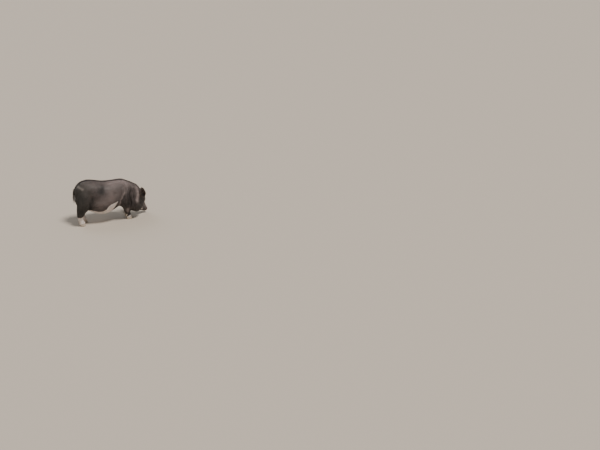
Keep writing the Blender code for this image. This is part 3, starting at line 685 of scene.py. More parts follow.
def charcoal(tree, place):
    """The dark colour of hide and bristles: darker below and lighter above, which is dust and painted light
    from above, and greenish on the rump.
    """
    dust = add(tree, "Attribute", {}, "Fac", attribute_name="dust")
    patches = add(tree, "TexNoise", {"Vector": place, "Scale": 1 / 0.030, "Detail": 5, "Roughness": 0.62})
    uneven = add(tree, "MapRange", {0: patches, 1: 0.3, 2: 0.7, 3: -0.10, 4: 0.10})
    dust = add(tree, "Math", {0: dust, 1: uneven}, operation="ADD", use_clamp=True)
    # Towards the light grey with dust and with painted light, towards charcoal with painted shade
    dusty_and_lit = add(tree, "Mix", {0: dust, 6: linear(CHARCOAL), 7: linear(DUSTY_AND_LIT_GREY)}, 2, data_type="RGBA")
    along = add(tree, "SeparateXYZ", {0: place}, "X")
    rump = add(tree, "MapRange", {0: along, 1: -0.200, 2: -0.110, 3: 0.6, 4: 0.0})
    green = add(tree, "Mix", {0: dust, 6: linear("#1d1c19"), 7: linear("#72736a")}, 2, data_type="RGBA")
    return add(tree, "Mix", {0: rump, 6: dusty_and_lit, 7: green}, 2, data_type="RGBA")


def wrinkle_cells(tree, place):
    """1 along the creases of the skin: broken lines that run down the sides.

    Real ones are about 1 mm apart. They are drawn about 3 mm apart, so that they show in the picture.
    """
    bend = add(tree, "TexNoise", {"Vector": place, "Scale": 1 / 0.007, "Detail": 4}, "Color")
    bent = add(tree, "VectorMath", {0: bend, 1: (0.0060, 0.0060, 0.0060), 2: place}, operation="MULTIPLY_ADD")
    drawn = add(tree, "Mapping", {"Vector": bent, "Scale": (1.6, 1.0, 0.55)})
    edges = {"Vector": drawn, "Scale": 1 / 0.0028}
    cells = add(tree, "TexVoronoi", edges, "Distance", feature="DISTANCE_TO_EDGE")
    lines = add(tree, "MapRange", {0: cells, 1: 0.0, 2: 0.11, 3: 1.0, 4: 0.0})
    gaps = add(tree, "TexNoise", {"Vector": place, "Scale": 1 / 0.009, "Detail": 3})
    gaps = add(tree, "MapRange", {0: gaps, 1: 0.42, 2: 0.60})
    return add(tree, "Math", {0: lines, 1: gaps}, operation="MULTIPLY")


def dark_skin(tree, place, blotches, cracks):
    """Charcoal skin, worn a little browner in blotches 14 mm wide, with painted shade darkening its creases.
    """
    dark = charcoal(tree, place)
    worn = add(tree, "MapRange", {0: blotches, 1: 0.45, 2: 0.75, 3: 0.0, 4: 0.18})
    dusty_and_lit = add(tree, "Attribute", {}, "Fac", attribute_name="dust")
    dusty_and_lit = add(tree, "MapRange", {0: dusty_and_lit, 1: 0.0, 2: 0.15})
    worn = add(tree, "Math", {0: worn, 1: dusty_and_lit}, operation="MULTIPLY")
    dark = add(tree, "Mix", {0: worn, 6: dark, 7: linear("#6d605b")}, 2, data_type="RGBA")
    # Painted shade in the creases of the skin
    deep = add(tree, "Math", {0: cracks, 1: 0.30}, operation="MULTIPLY")
    return add(tree, "Mix", {0: deep, 6: dark, 7: linear("#151111")}, 2, data_type="RGBA")


def pink_skin(tree, place, blotches, cracks):
    """Pale pink skin under white hair, rosier in blotches, with painted shade in its creases, and soiled near
    the ground.
    """
    rosy = add(tree, "MapRange", {0: blotches, 1: 0.40, 2: 0.65})
    pink = add(tree, "Mix", {0: rosy, 6: linear("#e4d5ce"), 7: linear("#f3eeea")}, 2, data_type="RGBA")
    # Painted shade in the creases of the skin
    shallow = add(tree, "Math", {0: cracks, 1: 0.25}, operation="MULTIPLY")
    pink = add(tree, "Mix", {0: shallow, 6: pink, 7: linear("#b59c90")}, 2, data_type="RGBA")
    height = add(tree, "SeparateXYZ", {0: place}, "Z")
    soiled = add(tree, "MapRange", {0: height, 1: 0.008, 2: 0.026, 3: 0.30, 4: 0.0})
    return add(tree, "Mix", {0: soiled, 6: pink, 7: linear("#a38c77")}, 2, data_type="RGBA")


def face_and_folds(tree, colour, blotches, pores, nose):
    """The skin's colour with brown ears, dark rims of the eyes, the bare disc of the nose and painted shade
    with some dirt in the deep folds.
    """
    mottled = add(tree, "MapRange", {0: blotches, 1: 0.42, 2: 0.62})
    flesh = add(tree, "Mix", {0: mottled, 6: linear("#2a1f1c"), 7: linear("#75625c")}, 2, data_type="RGBA")
    ear = add(tree, "Attribute", {}, "Fac", attribute_name="ear")
    ear = add(tree, "Math", {0: ear, 1: 0.85}, operation="MULTIPLY")
    colour = add(tree, "Mix", {0: ear, 6: colour, 7: flesh}, 2, data_type="RGBA")
    lid = add(tree, "Attribute", {}, "Fac", attribute_name="lid")
    lid = add(tree, "Math", {0: lid, 1: 0.80}, operation="MULTIPLY")
    rim = add(tree, "Mix", {0: pores, 6: linear("#1d1413"), 7: linear("#43302c")}, 2, data_type="RGBA")
    colour = add(tree, "Mix", {0: lid, 6: colour, 7: rim}, 2, data_type="RGBA")
    disc = add(tree, "Mix", {0: mottled, 6: linear("#3a2e2b"), 7: linear("#6f5b53")}, 2, data_type="RGBA")
    colour = add(tree, "Mix", {0: nose, 6: colour, 7: disc}, 2, data_type="RGBA")
    # Painted shade, with some dirt, in the deep folds of the skin
    fold = add(tree, "Attribute", {}, "Fac", attribute_name="fold")
    fold = add(tree, "Math", {0: fold, 1: 0.60}, operation="MULTIPLY")
    return add(tree, "Mix", {0: fold, 6: colour, 7: linear("#0f0c0c")}, 2, data_type="RGBA")


def hide_material():
    """Pig skin: living leather, creased and porous, so the eye sees a dull sheen broken up by fine lines.

    Pores are about 0.1 mm wide in life and are drawn 1 mm wide, so that they show in the picture.
    """
    material, tree, shader, place = new_material("creased_pig_hide")
    cracks = wrinkle_cells(tree, place)
    pores = add(tree, "TexNoise", {"Vector": place, "Scale": 1 / 0.0011, "Detail": 4, "Roughness": 0.6})
    blotches = add(tree, "TexNoise", {"Vector": place, "Scale": 1 / 0.014, "Detail": 5, "Roughness": 0.62})
    nose = add(tree, "Attribute", {}, "Fac", attribute_name="nose")
    dark = dark_skin(tree, place, blotches, cracks)
    pink = pink_skin(tree, place, blotches, cracks)
    colour = add(tree, "Mix", {0: white_mask(tree, place), 6: dark, 7: pink}, 2, data_type="RGBA")
    colour = face_and_folds(tree, colour, blotches, pores, nose)
    tree.links.new(colour, shader.inputs["Base Color"])

    matt = add(tree, "MapRange", {0: pores, 1: 0.3, 2: 0.7, 3: 0.44, 4: 0.62})
    damp = add(tree, "MapRange", {0: nose, 1: 0.0, 2: 1.0, 3: 1.0, 4: 0.60})
    tree.links.new(add(tree, "Math", {0: matt, 1: damp}, operation="MULTIPLY"), shader.inputs["Roughness"])
    shader.inputs["Sheen Weight"].default_value = 0.10
    shader.inputs["Sheen Roughness"].default_value = 0.45
    shader.inputs["Subsurface Weight"].default_value = 0.05
    shader.inputs["Subsurface Radius"].default_value = (0.006, 0.002, 0.001)
    shader.inputs["Subsurface Scale"].default_value = 1.0

    creased = add(tree, "Bump", {"Strength": 0.30, "Distance": 0.0004, "Height": cracks}, invert=True)
    lumps = add(tree, "TexNoise", {"Vector": place, "Scale": 1 / 0.008, "Detail": 5, "Roughness": 0.6})
    lumpy = add(tree, "Bump", {"Strength": 0.20, "Distance": 0.0008, "Height": lumps, "Normal": creased})
    porous = add(tree, "Bump", {"Strength": 0.25, "Distance": 0.0003, "Height": pores, "Normal": lumpy})
    tree.links.new(porous, shader.inputs["Normal"])
    return material


def bristle_material():
    """Pig bristle: stiff, smooth keratin, each lighter or darker than the coat's own colour, with a glint."""
    material, tree, shader, place = new_material("pig_bristle")
    shade = add(tree, "Attribute", {}, "Fac", attribute_name="shade")
    dark = charcoal(tree, place)
    lighter = add(tree, "MapRange", {0: shade, 1: 0.0, 2: 1.0, 3: 0.55, 4: 1.95})
    dark = add(tree, "VectorMath", {0: dark, "Scale": lighter}, operation="SCALE")
    pale = add(tree, "Mix", {0: shade, 6: linear("#e0d7d0"), 7: linear("#fbf8f5")}, 2, data_type="RGBA")
    white = add(tree, "Attribute", {}, "Fac", attribute_name="white")
    white = add(tree, "MapRange", {0: white, 1: -0.0010, 2: 0.0010})
    colour = add(tree, "Mix", {0: white, 6: dark, 7: pale}, 2, data_type="RGBA")
    tree.links.new(colour, shader.inputs["Base Color"])
    dull = add(tree, "TexNoise", {"Vector": place, "Scale": 1 / 0.004, "Detail": 2})
    dull = add(tree, "MapRange", {0: dull, 1: 0.2, 2: 0.8, 3: 0.34, 4: 0.52})
    tree.links.new(dull, shader.inputs["Roughness"])
    return material


def eye_material():
    """A pig's eye: dark brown iris and black pupil under a wet clear cornea, which gives a sharp highlight.

    Its white is brown and veined. The fibres of the iris are 0.6 mm apart, coarser than real ones, to show.
    """
    material, tree, shader, place = new_material("wet_brown_eye")
    away = add(tree, "Attribute", {}, "Fac", attribute_name="from_axis")
    fibres = add(tree, "TexNoise", {"Vector": place, "Scale": 1 / 0.0006, "Detail": 3})
    iris = add(tree, "Mix", {0: fibres, 6: linear("#180c07"), 7: linear("#38200f")}, 2, data_type="RGBA")
    pupil = add(tree, "MapRange", {0: away, 1: 0.0024, 2: 0.0030, 3: 1.0, 4: 0.0})
    colour = add(tree, "Mix", {0: pupil, 6: iris, 7: linear("#040303")}, 2, data_type="RGBA")
    veins = add(tree, "Mix", {0: fibres, 6: linear("#1d1310"), 7: linear("#5b453d")}, 2, data_type="RGBA")
    edge = add(tree, "MapRange", {0: away, 1: 0.0050, 2: 0.0060}, interpolation_type="SMOOTHSTEP")
    colour = add(tree, "Mix", {0: edge, 6: colour, 7: veins}, 2, data_type="RGBA")
    tree.links.new(colour, shader.inputs["Base Color"])
    tree.links.new(add(tree, "MapRange", {0: fibres, 3: 0.10, 4: 0.20}), shader.inputs["Roughness"])
    shader.inputs["Specular IOR Level"].default_value = 0.15
    shader.inputs["Coat Weight"].default_value = 0.7
    shader.inputs["Coat Roughness"].default_value = 0.03
    return material


def claw_material():
    """Claw horn: grown down from the foot, so it has rings 2 mm apart and fine streaks down its length.

    It is smooth and half matt, a little soiled, and caked with soil at the sole. The streaks are 1 mm wide.
    """
    material, tree, shader, place = new_material("pale_claw_horn")
    wobble = add(tree, "TexNoise", {"Vector": place, "Scale": 1 / 0.008, "Detail": 3})
    height = add(tree, "SeparateXYZ", {0: place}, "Z")
    level = add(tree, "Math", {0: wobble, 1: 0.006, 2: height}, operation="MULTIPLY_ADD")
    turns = add(tree, "Math", {0: level, 1: tau / 0.0021}, operation="MULTIPLY")
    rings = add(tree, "Math", {0: turns}, operation="SINE")
    drawn = add(tree, "Mapping", {"Vector": place, "Scale": (1.0, 1.0, 0.10)})
    streaks = add(tree, "TexNoise", {"Vector": drawn, "Scale": 1 / 0.0009, "Detail": 4, "Roughness": 0.6})
    tint = add(tree, "MapRange", {0: streaks, 1: 0.35, 2: 0.68})
    colour = add(tree, "Mix", {0: tint, 6: linear("#b7aa9b"), 7: linear("#c6baab")}, 2, data_type="RGBA")
    ringed = add(tree, "MapRange", {0: rings, 1: -1.0, 2: 1.0, 3: 0.0, 4: 0.05})
    colour = add(tree, "Mix", {0: ringed, 6: colour, 7: linear("#94795f")}, 2, data_type="RGBA")
    low = add(tree, "MapRange", {0: height, 1: 0.0, 2: 0.008, 3: 0.80, 4: 0.0})
    caked = add(tree, "TexNoise", {"Vector": place, "Scale": 1 / 0.004, "Detail": 4})
    caked = add(tree, "MapRange", {0: caked, 1: 0.3, 2: 0.6})
    soil = add(tree, "Math", {0: low, 1: caked}, operation="MULTIPLY")
    colour = add(tree, "Mix", {0: soil, 6: colour, 7: linear("#6e5b48")}, 2, data_type="RGBA")
    tree.links.new(colour, shader.inputs["Base Color"])
    tree.links.new(add(tree, "MapRange", {0: streaks, 3: 0.28, 4: 0.46}), shader.inputs["Roughness"])
    ridged = add(tree, "Bump", {"Strength": 0.12, "Distance": 0.0002, "Height": rings})
    scratched = add(tree, "Bump", {"Strength": 0.12, "Distance": 0.0003, "Height": streaks, "Normal": ridged})
    tree.links.new(scratched, shader.inputs["Normal"])
    return material


def floor_material():
    """A plain pale floor, matt, with a grain too faint to draw the eye."""
    material, tree, shader, place = new_material("pale_matt_floor")
    speck = add(tree, "TexNoise", {"Vector": place, "Scale": 1 / 0.004, "Detail": 3})
    speck = add(tree, "MapRange", {0: speck, 1: 0.3, 2: 0.7})
    colour = add(tree, "Mix", {0: speck, 6: linear("#c9beb0"), 7: linear("#cfc5b8")}, 2, data_type="RGBA")
    tree.links.new(colour, shader.inputs["Base Color"])
    tree.links.new(add(tree, "MapRange", {0: speck, 3: 0.75, 4: 0.85}), shader.inputs["Roughness"])
    return material


# Bristles

# A piece of the coat: how many bristles it has, their length and width, how far they stand off, how much of
# the dust and painted light they take on, and which of the hide's triangles they grow on
Coat = namedtuple("Coat", "name count length width lift dust chosen")
BakeMap = namedtuple("BakeMap", "surface corners uvs")


def bake_map(hide):
    """A coarse copy of the hide, unwrapped on its own shape, that gives each hair its place in the map."""
    coarse = placed("coarse", hide.data.copy())
    fewer = coarse.modifiers.new("fewer", "DECIMATE")
    fewer.ratio = BAKE_FACES / len(hide.data.polygons)
    fewer.use_collapse_triangulate = True
    with_modifiers(coarse)
    bpy.context.view_layer.objects.active = coarse
    coarse.select_set(True)
    bpy.ops.object.mode_set(mode="EDIT")
    bpy.ops.mesh.select_all(action="SELECT")
    bpy.ops.uv.smart_project(angle_limit=BAKE_ANGLE, island_margin=BAKE_GAP)
    bpy.ops.object.mode_set(mode="OBJECT")
    mesh = coarse.data
    flat = np.empty(len(mesh.loops) * 2)
    mesh.uv_layers.active.uv.foreach_get("vector", flat)
    places = coordinates(mesh)
    triangles = np.array([tuple(face.vertices)[:3] for face in mesh.polygons])
    first = np.array([face.loop_start for face in mesh.polygons])
    uvs = flat.reshape(-1, 2)[first[:, None] + np.arange(3)]
    surface = BVHTree.FromPolygons([Vector(spot) for spot in places], [tuple(row) for row in triangles])
    bpy.data.objects.remove(coarse)
    return BakeMap(surface, places[triangles], uvs)


def bake_spots(baked, points):
    """The place on the unwrapped skin nearest to each point."""
    found = [baked.surface.find_nearest(Vector(point)) for point in points]
    nearest = np.array([spot[0] for spot in found])
    index = np.array([spot[2] for spot in found])
    a, b, c = (baked.corners[index, corner] for corner in range(3))
    whole = np.cross(b - a, c - a)
    size = (whole * whole).sum(1)
    second = (np.cross(nearest - a, c - a) * whole).sum(1) / size
    third = (np.cross(b - a, nearest - a) * whole).sum(1) / size
    share = np.clip(np.stack([1 - second - third, second, third], axis=1), 0, 1)
    return (baked.uvs[index] * share[:, :, None]).sum(1)


Faces = namedtuple("Faces", "corners places normals areas white dust ear")


def face_facts(mesh):
    """The hide's triangles with what the bristles need to know of each."""
    mesh.calc_loop_triangles()
    count = len(mesh.loop_triangles)
    corners = np.empty(count * 3, int)
    areas = np.empty(count)
    mesh.loop_triangles.foreach_get("vertices", corners)
    mesh.loop_triangles.foreach_get("area", areas)
    stored = []
    for name in ("white", "dust", "ear"):
        values = np.empty(len(mesh.vertices), np.float32)
        mesh.attributes[name].data.foreach_get("value", values)
        stored.append(values)
    return Faces(corners.reshape(-1, 3), coordinates(mesh), normals(mesh), areas, *stored)


def lie_of_coat(places):
    """The way the coat lies: back along the trunk, down the legs and up the face."""
    own = places - np.array(ORIGIN)
    x, y, z = own.T
    flow = np.stack([np.full(len(x), -1.0), 0 * x, -0.45 * ramp(abs(y), 0.01, 0.07)], axis=1)
    leg = 1 - ramp(z, 0.055, 0.120)
    flow = flow * (1 - leg)[:, None] + np.array((-0.25, 0, -1.0)) * leg[:, None]
    head = in_head(places)
    back = HEAD_TURN.to_3x3() @ Vector((-1, 0, 0.12))
    face = ramp(head[:, 0], -0.010, 0.040) * (x > 0.15)
    flow = flow * (1 - face)[:, None] + np.array(back) * face[:, None]
    tail = (x < -0.172) & (abs(y) < 0.012) & (z < 0.226)
    flow[tail] = (0, 0, -1)
    return flow


def unit(vectors):
    """The vectors at length 1."""
    return vectors / np.linalg.norm(vectors, axis=1, keepdims=True)


def hair_vertices(line, across, outwards, width):
    """Each hair's vertices: three round every point of its line but the last, which is its tip."""
    steps = len(line) - 1
    width = width[:, None] / 2
    rings = []
    for step in range(steps):
        size = width * (1 - (step / steps) ** TAPER)
        for turn in (0.0, tau / 3, 2 * tau / 3):
            rings.append(line[step] + size * (across * cos(turn) + outwards * sin(turn)))
    return np.stack([*rings, line[steps]], axis=1)


def hair_triangles(steps):
    """The triangles of one hair: closed at its root, three sides along it, and drawn to its tip."""
    triangles = [(2, 1, 0)]
    tip = 3 * steps
    for index in range(3):
        after = (index + 1) % 3
        for low in range(0, tip - 3, 3):
            triangles.append((low + index, low + after, low + after + 3))
            triangles.append((low + index, low + after + 3, low + index + 3))
        triangles.append((tip - 3 + index, tip - 3 + after, tip))
    return np.array(triangles)


def triangle_mesh(name, vertices, triangles):
    """A mesh made straight from arrays, since the coat has over a million triangles."""
    mesh = bpy.data.meshes.new(name)
    mesh.vertices.add(len(vertices))
    mesh.vertices.foreach_set("co", vertices.astype(np.float32).ravel())
    mesh.loops.add(triangles.size)
    mesh.loops.foreach_set("vertex_index", triangles.astype(np.int32).ravel())
    mesh.polygons.add(len(triangles))
    mesh.polygons.foreach_set("loop_start", np.arange(0, triangles.size, 3, dtype=np.int32))
    mesh.update(calc_edges=True)
    mesh.shade_smooth()
    return mesh


def hairs(name, line, across, outwards, width, spots, white, dust, shade):
    """Many hairs as one mesh: each three-sided along its row of points, and tapered to the last of them."""
    steps = len(line) - 1
    corners = 3 * steps + 1
    vertices = hair_vertices(line, across, outwards, width).reshape(-1, 3)
    starts = np.arange(len(width))[:, None, None] * corners
    triangles = (starts + hair_triangles(steps)[None]).reshape(-1, 3)
    mesh = triangle_mesh(name, vertices, triangles)
    set_attribute(mesh, "white", np.repeat(white, corners))
    set_attribute(mesh, "dust", np.repeat(dust, corners))
    set_attribute(mesh, "shade", np.repeat(shade, corners))
    patch = [((turn - 1) / 2, step / steps - 0.5) for step in range(steps) for turn in range(3)] + [(0, 0.5)]
    mapped = (spots[:, None, :] + BAKE_PATCH * np.array(patch)[None]).reshape(-1, 2)[triangles.ravel()]
    mesh.uv_layers.new(name="OFBake").uv.foreach_set("vector", mapped.astype(np.float32).ravel())
    return placed(name, mesh)


def bristles(faces, coat, chance, baked):
    """One piece of the coat: thin tapered bristles that bend as they lie back over the skin."""
    weight = faces.areas * coat.chosen
    picked = chance.choice(len(weight), coat.count, p=weight / weight.sum())
    first, second = chance.random((2, coat.count))
    over = first + second > 1
    first[over], second[over] = 1 - first[over], 1 - second[over]
    share = np.stack([1 - first - second, first, second], axis=1)
    corners = faces.corners[picked]
    roots = (faces.places[corners] * share[:, :, None]).sum(1)
    outwards = unit((faces.normals[corners] * share[:, :, None]).sum(1))
    white = (faces.white[corners] * share).sum(1)
    dust = (faces.dust[corners] * share).sum(1) * coat.dust

    flow = lie_of_coat(roots) + chance.normal(0, STRAY, (coat.count, 3))
    flow = unit(flow - (flow * outwards).sum(1)[:, None] * outwards)
    across = np.cross(outwards, flow)
    length = coat.length * chance.uniform(0.6, 1.15, coat.count)[:, None]
    lift = coat.lift * chance.uniform(0.5, 1.5, coat.count)[:, None]
    width = coat.width * chance.uniform(0.75, 1.2, coat.count)
    line = [
        roots - outwards * ROOT_DEPTH,
        roots + length * (flow * 0.48 + outwards * (0.9 * lift + 0.02)),
        roots + length * (flow * 0.97 + outwards * (1.15 * lift + 0.01)),
    ]
    spots = bake_spots(baked, roots)
    return hairs(coat.name, line, across, outwards, width, spots, white, dust, chance.random(coat.count))


def coats(faces):
    """The pieces of the coat and the part of the skin that each grows on."""
    centres = faces.places[faces.corners].mean(1)
    outwards = faces.normals[faces.corners].mean(1)
    x, y, z = (centres - np.array(ORIGIN)).T
    head = in_head(centres)
    ears = faces.ear[faces.corners].mean(1) > 0.5
    on_head = (head[:, 0] > -0.005) & (x > 0.150) & ~ears
    face = on_head & (head[:, 0] > 0.085)
    bare = (head[:, 0] > NOSE_DISC_START - 0.003) & on_head
    eyes = [np.linalg.norm(head - eye_centre(side), axis=1) < 0.0108 for side in (1, -1)]
    bare |= eyes[0] | eyes[1]
    legs = ~on_head & (z < 0.085) & ((x < -0.095) | (x > 0.085)) & (abs(y) > 0.008)
    trunk = ~on_head & ~legs & ~ears
    spine = trunk * (outwards[:, 2] > 0.60) * np.exp(-(y / 0.0065) ** 2)
    belly = trunk & (outwards[:, 2] < -0.35)
    side = trunk & ~belly
    fore = x > 0.03
    return [
        Coat("bristles_spine", 2600, 0.0110, THIN, 0.10, 0.4, spine * (x <= 0.00)),
        Coat("bristles_crest", 3800, 0.0150, 0.00045, 0.13, 0.35, spine * (x > 0.00)),
        Coat("bristles_right_fore", 13000, 0.0100, THIN, 0.07, 1.0, side & fore & (y < 0)),
        Coat("bristles_right_hind", 16000, 0.0100, THIN, 0.07, 1.0, side & ~fore & (y < 0)),
        Coat("bristles_left_fore", 13000, 0.0100, THIN, 0.07, 1.0, side & fore & (y >= 0)),
        Coat("bristles_left_hind", 16000, 0.0100, THIN, 0.07, 1.0, side & ~fore & (y >= 0)),
        Coat("bristles_belly", 9000, 0.0080, THIN, 0.08, 1.0, belly),
        Coat("bristles_legs", 16000, 0.0062, FINE, 0.08, 1.0, legs),
        Coat("bristles_head", 16000, 0.0060, FINE, 0.09, 1.0, on_head & ~face & ~bare),
        Coat("bristles_snout", 7000, 0.0028, 0.00026, 0.12, 1.0, face & ~bare),
        Coat("bristles_ears", 4500, 0.0060, 0.00030, 0.16, 1.0, ears),
    ]


# Eyes, lashes, claws and the brush of the tail


def make_eye(side, name):
    """An eyeball with the cornea standing a little proud."""
    mesh = bmesh.new()
    bmesh.ops.create_uvsphere(mesh, u_segments=48, v_segments=32, radius=EYE_RADIUS + EYE_OVER_SOLID)
    turn = eye_facing(side).to_track_quat("Z", "Y").to_matrix().to_4x4()
    distances = []
    for vert in mesh.verts:
        away = Vector((vert.co.x, vert.co.y)).length
        distances.append(away if vert.co.z > 0 else EYE_RADIUS)
        if vert.co.z > 0:
            vert.co.z += CORNEA_RISE * max(0.0, 1 - (away / CORNEA_RADIUS) ** 2)
    centre = Matrix.Translation(Vector(eye_centre(side)))
    bmesh.ops.transform(mesh, matrix=HEAD_PLACE @ centre @ turn, verts=mesh.verts)
    data = bpy.data.meshes.new(name)
    mesh.to_mesh(data)
    mesh.free()
    data.shade_smooth()
    set_attribute(data, "from_axis", distances)
    return placed(name, data)


def make_lashes(side, name, baked):
    """The stiff lashes of an upper lid, each curved out and up."""
    chance = np.random.default_rng(31 + side)
    out = np.array(eye_facing(side))
    along = unit(np.array(((1, 0, 0),)) - out * out[0])
    up = upwards(side)
    swing = np.radians(chance.uniform(15, 165, LASHES))[:, None]
    reach = along * np.cos(swing) * LID_HALF_LENGTH * 0.86 + up * np.sin(swing) * LID_HALF_HEIGHT * 0.90
    turn = np.array(HEAD_PLACE.to_3x3())
    roots = (eye_centre(side) + out * LID_LEVEL + reach) @ turn.T + np.array(HEAD_PLACE.translation)
    spread = chance.normal(0, 0.10, (LASHES, 3))
    way = unit((out + 0.55 * up + 0.35 * reach / LID_HALF_HEIGHT + spread) @ turn.T)
    rise = up @ turn.T
    length = chance.uniform(0.0045, 0.0080, LASHES)[:, None]
    line = [roots + length * (way * part + rise * 0.30 * part ** 2) for part in (0.0, 0.33, 0.66, 1.0)]
    across = unit(np.cross(way, rise))
    spots = bake_spots(baked, roots)
    return hairs(name, line, across, np.cross(way, across), np.full(LASHES, LASH_WIDTH), spots,
                 np.full(LASHES, NO_WHITE), np.full(LASHES, 0.05), chance.random(LASHES))


def claw_size(height):
    """The claw's size at a height from 0 at the sole to 1 at the coronet: round at both ends and ringed."""
    size = 1 - CLAW_SOLE_ROUNDING + CLAW_SOLE_ROUNDING * min(height / 0.06, 1) ** 0.5
    size *= 1 - CLAW_TAPER * max(height - 0.12, 0) ** 1.2
    size *= 1 - CLAW_TOP_ROUNDING * max((height - 0.88) / 0.12, 0) ** 2
    return size * (1 + CLAW_RING_DEPTH * sin(tau * height * CLAW_RINGS))


def make_claw(node):
    """A claw of horn, narrower at the toe than at the heel and flatter on its inner side."""
    low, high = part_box(node)
    name = node.removeprefix("claw_").rsplit("_", 1)[0]
    foot = pig_point(*FEET[name], 0)
    middle_y = (low.y + high.y) / 2
    outer_side = 1 if middle_y > foot.y else -1
    front = high.x - CLAW_LENGTH / 2
    heights = [0.0, 0.02, 0.06, *np.linspace(0.12, 0.88, 23), 0.92, 0.96, 1.0]
    count = 40
    vertices = []
    for height in heights:
        size = claw_size(height)
        for step in range(count):
            angle = tau * step / count
            narrowing = 1 - CLAW_TOE_NARROWING * max(cos(angle), 0) ** 2
            flat = 1.0 if sin(angle) * outer_side > 0 else 0.90
            x = front + cos(angle) * CLAW_LENGTH / 2 * size - CLAW_LEAN_BACK * height
            y = middle_y + sin(angle) * CLAW_WIDTH / 2 * size * narrowing * flat
            level = CORONET_HEIGHT + CORONET_SLOPE * (x - foot.x)
            vertices.append((x, y, height * (level - CLAW_UNDER_CORONET)))
    return new_object(node + "_horn", vertices, ring_faces(len(heights), count))


def make_dewclaw(node):
    """A small claw behind the foot, rounded from its solid."""
    mesh = bmesh.new()
    mesh.from_mesh(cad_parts[node].data)
    bmesh.ops.remove_doubles(mesh, verts=mesh.verts, dist=1e-6)
    bmesh.ops.dissolve_limit(mesh, angle_limit=radians(5), verts=mesh.verts, edges=mesh.edges)
    data = bpy.data.meshes.new(node + "_horn")
    mesh.to_mesh(data)
    mesh.free()
    made = placed(node + "_horn", data)
    remesh = made.modifiers.new("round", "REMESH")
    remesh.mode = "VOXEL"
    remesh.voxel_size = DEWCLAW_VOXEL
    smooth = made.modifiers.new("worn", "SMOOTH")
    smooth.iterations = 6
    return with_modifiers(made)


def make_brush(baked):
    """The long hair of the tail, dark behind and white in front, which swings to the pig's right."""
    chance = np.random.default_rng(9)
    line = [np.array(pig_point(*row[:3])) for row in TAIL_LINE]
    turn = chance.uniform(0, tau, BRUSH_HAIRS)
    part = chance.uniform(0, 2, BRUSH_HAIRS)[:, None]
    outwards = np.stack([np.cos(turn), np.sin(turn), 0 * turn], axis=1)
    across = np.stack([-np.sin(turn), np.cos(turn), 0 * turn], axis=1)
    upper = line[3] + (line[4] - line[3]) * np.minimum(part, 1)
    roots = upper + (line[5] - line[4]) * np.maximum(part - 1, 0) + outwards * BRUSH_ROOT_RADIUS
    length = BRUSH_LENGTH * chance.uniform(0.35, 1.0, BRUSH_HAIRS)[:, None]
    sideways = chance.uniform(0.0005, 0.0060, BRUSH_HAIRS)[:, None]
    forward = np.cos(turn + 0.48)
    swing = (chance.uniform(0.35, 1.25, BRUSH_HAIRS) * (0.75 + 0.45 * forward))[:, None] * (0, -1, 0.30)
    fall = []
    for along in np.linspace(0, 1, 7):
        drop = (swing * (0.25 + 0.75 * along) + (0.04, 0, -1)) * length * along
        fall.append(roots + drop + outwards * sideways * sin(pi * 0.62 * along))
    width = chance.uniform(0.00042, 0.00070, BRUSH_HAIRS)
    pale = part[:, 0] + 0.6 * forward + chance.normal(0, 0.25, BRUSH_HAIRS)
    white = np.where(pale > 0.5, ALL_WHITE, NO_WHITE)
    spots = bake_spots(baked, roots)
    dust = np.full(BRUSH_HAIRS, BRUSH_DUST)
    return hairs("tail_brush", fall, across, outwards, width, spots, white, dust, chance.random(BRUSH_HAIRS))


# Scene


def make_floor():
    """A plain floor that reaches out of the camera's sight."""
    far = FLOOR_REACH
    corners = [(-far, -far, 0), (far, -far, 0), (far, far, 0), (-far, far, 0)]
    floor = new_object("floor", corners, [(0, 1, 2, 3)])
    floor.data.materials.append(floor_material())


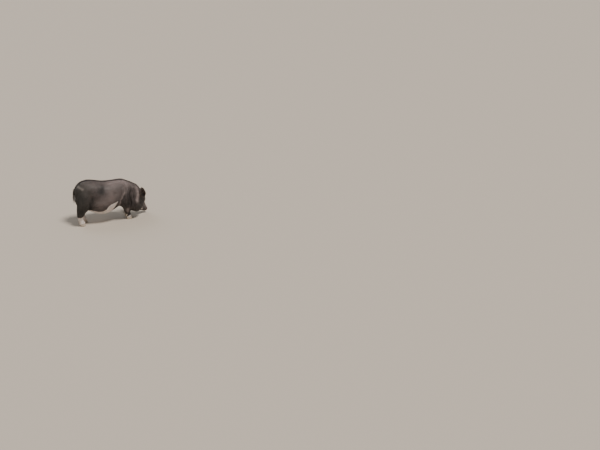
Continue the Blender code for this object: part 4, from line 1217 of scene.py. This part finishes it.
def make_light(name, direction, strength, softness, colour):
    """A distant soft light that shines along a direction."""
    data = bpy.data.lights.new(name, "SUN")
    data.angle = softness
    data.energy = strength
    data.color = linear(colour)[:3]
    made = placed(name, data)
    made.rotation_euler = Vector(direction).to_track_quat("-Z", "Y").to_euler()


def make_studio():
    """A large soft light high behind the camera's right, a weak one from behind and a pale surround."""
    make_light("key", (-0.26, 0.52, -1.0), 2.9, radians(16), "#fff8f0")
    make_light("rim", (0.30, -0.80, -0.75), 0.5, radians(40), "#f4f7ff")
    world = bpy.data.worlds.new("studio")
    world.use_nodes = True
    world.node_tree.nodes["Background"].inputs["Color"].default_value = linear("#e4e2de")
    world.node_tree.nodes["Background"].inputs["Strength"].default_value = 0.38
    bpy.context.scene.world = world


def make_camera():
    """The photo's camera."""
    data = bpy.data.cameras.new("camera")
    data.lens = LENS_MM
    data.sensor_width = FRAME_WIDTH_MM
    data.clip_end = 100
    made = placed("camera", data)
    made.location = ORIGIN + CAMERA_PLACE
    made.rotation_euler = (pi / 2 - CAMERA_DOWN, 0, CAMERA_HEADING)
    bpy.context.scene.camera = made


def put_on(piece, material, slot, *nodes):
    """Gives a piece its material, and puts it on the pig in place of CAD nodes."""
    piece.data.materials.clear()
    piece.data.materials.append(material)
    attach(piece, "root")
    if nodes:
        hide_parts(*nodes)


def dress():
    """Makes every piece and puts it in place of its solid."""
    hide = make_skin()
    put_on(hide, hide_material(), "skin", *FLESH)
    baked = bake_map(hide)

    hair = bristle_material()
    faces = face_facts(hide.data)
    chance = np.random.default_rng(21)
    for coat in coats(faces):
        count = coat.count
        put_on(bristles(faces, coat._replace(count=count), chance, baked), hair, "bristle")
    put_on(make_brush(baked), hair, "bristle", "tail")

    wet = eye_material()
    for side, name in ((1, "left"), (-1, "right")):
        put_on(make_eye(side, "eyeball_" + name), wet, "eye", "eye_" + name)
        put_on(make_lashes(side, "lashes_" + name, baked), hair, "bristle")

    horn = claw_material()
    for node in sorted(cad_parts):
        if node.startswith("claw"):
            put_on(make_claw(node), horn, "horn", node)
        if node.startswith("dewclaw"):
            put_on(make_dewclaw(node), horn, "horn", node)


make_camera()
make_studio()
make_floor()
dress()
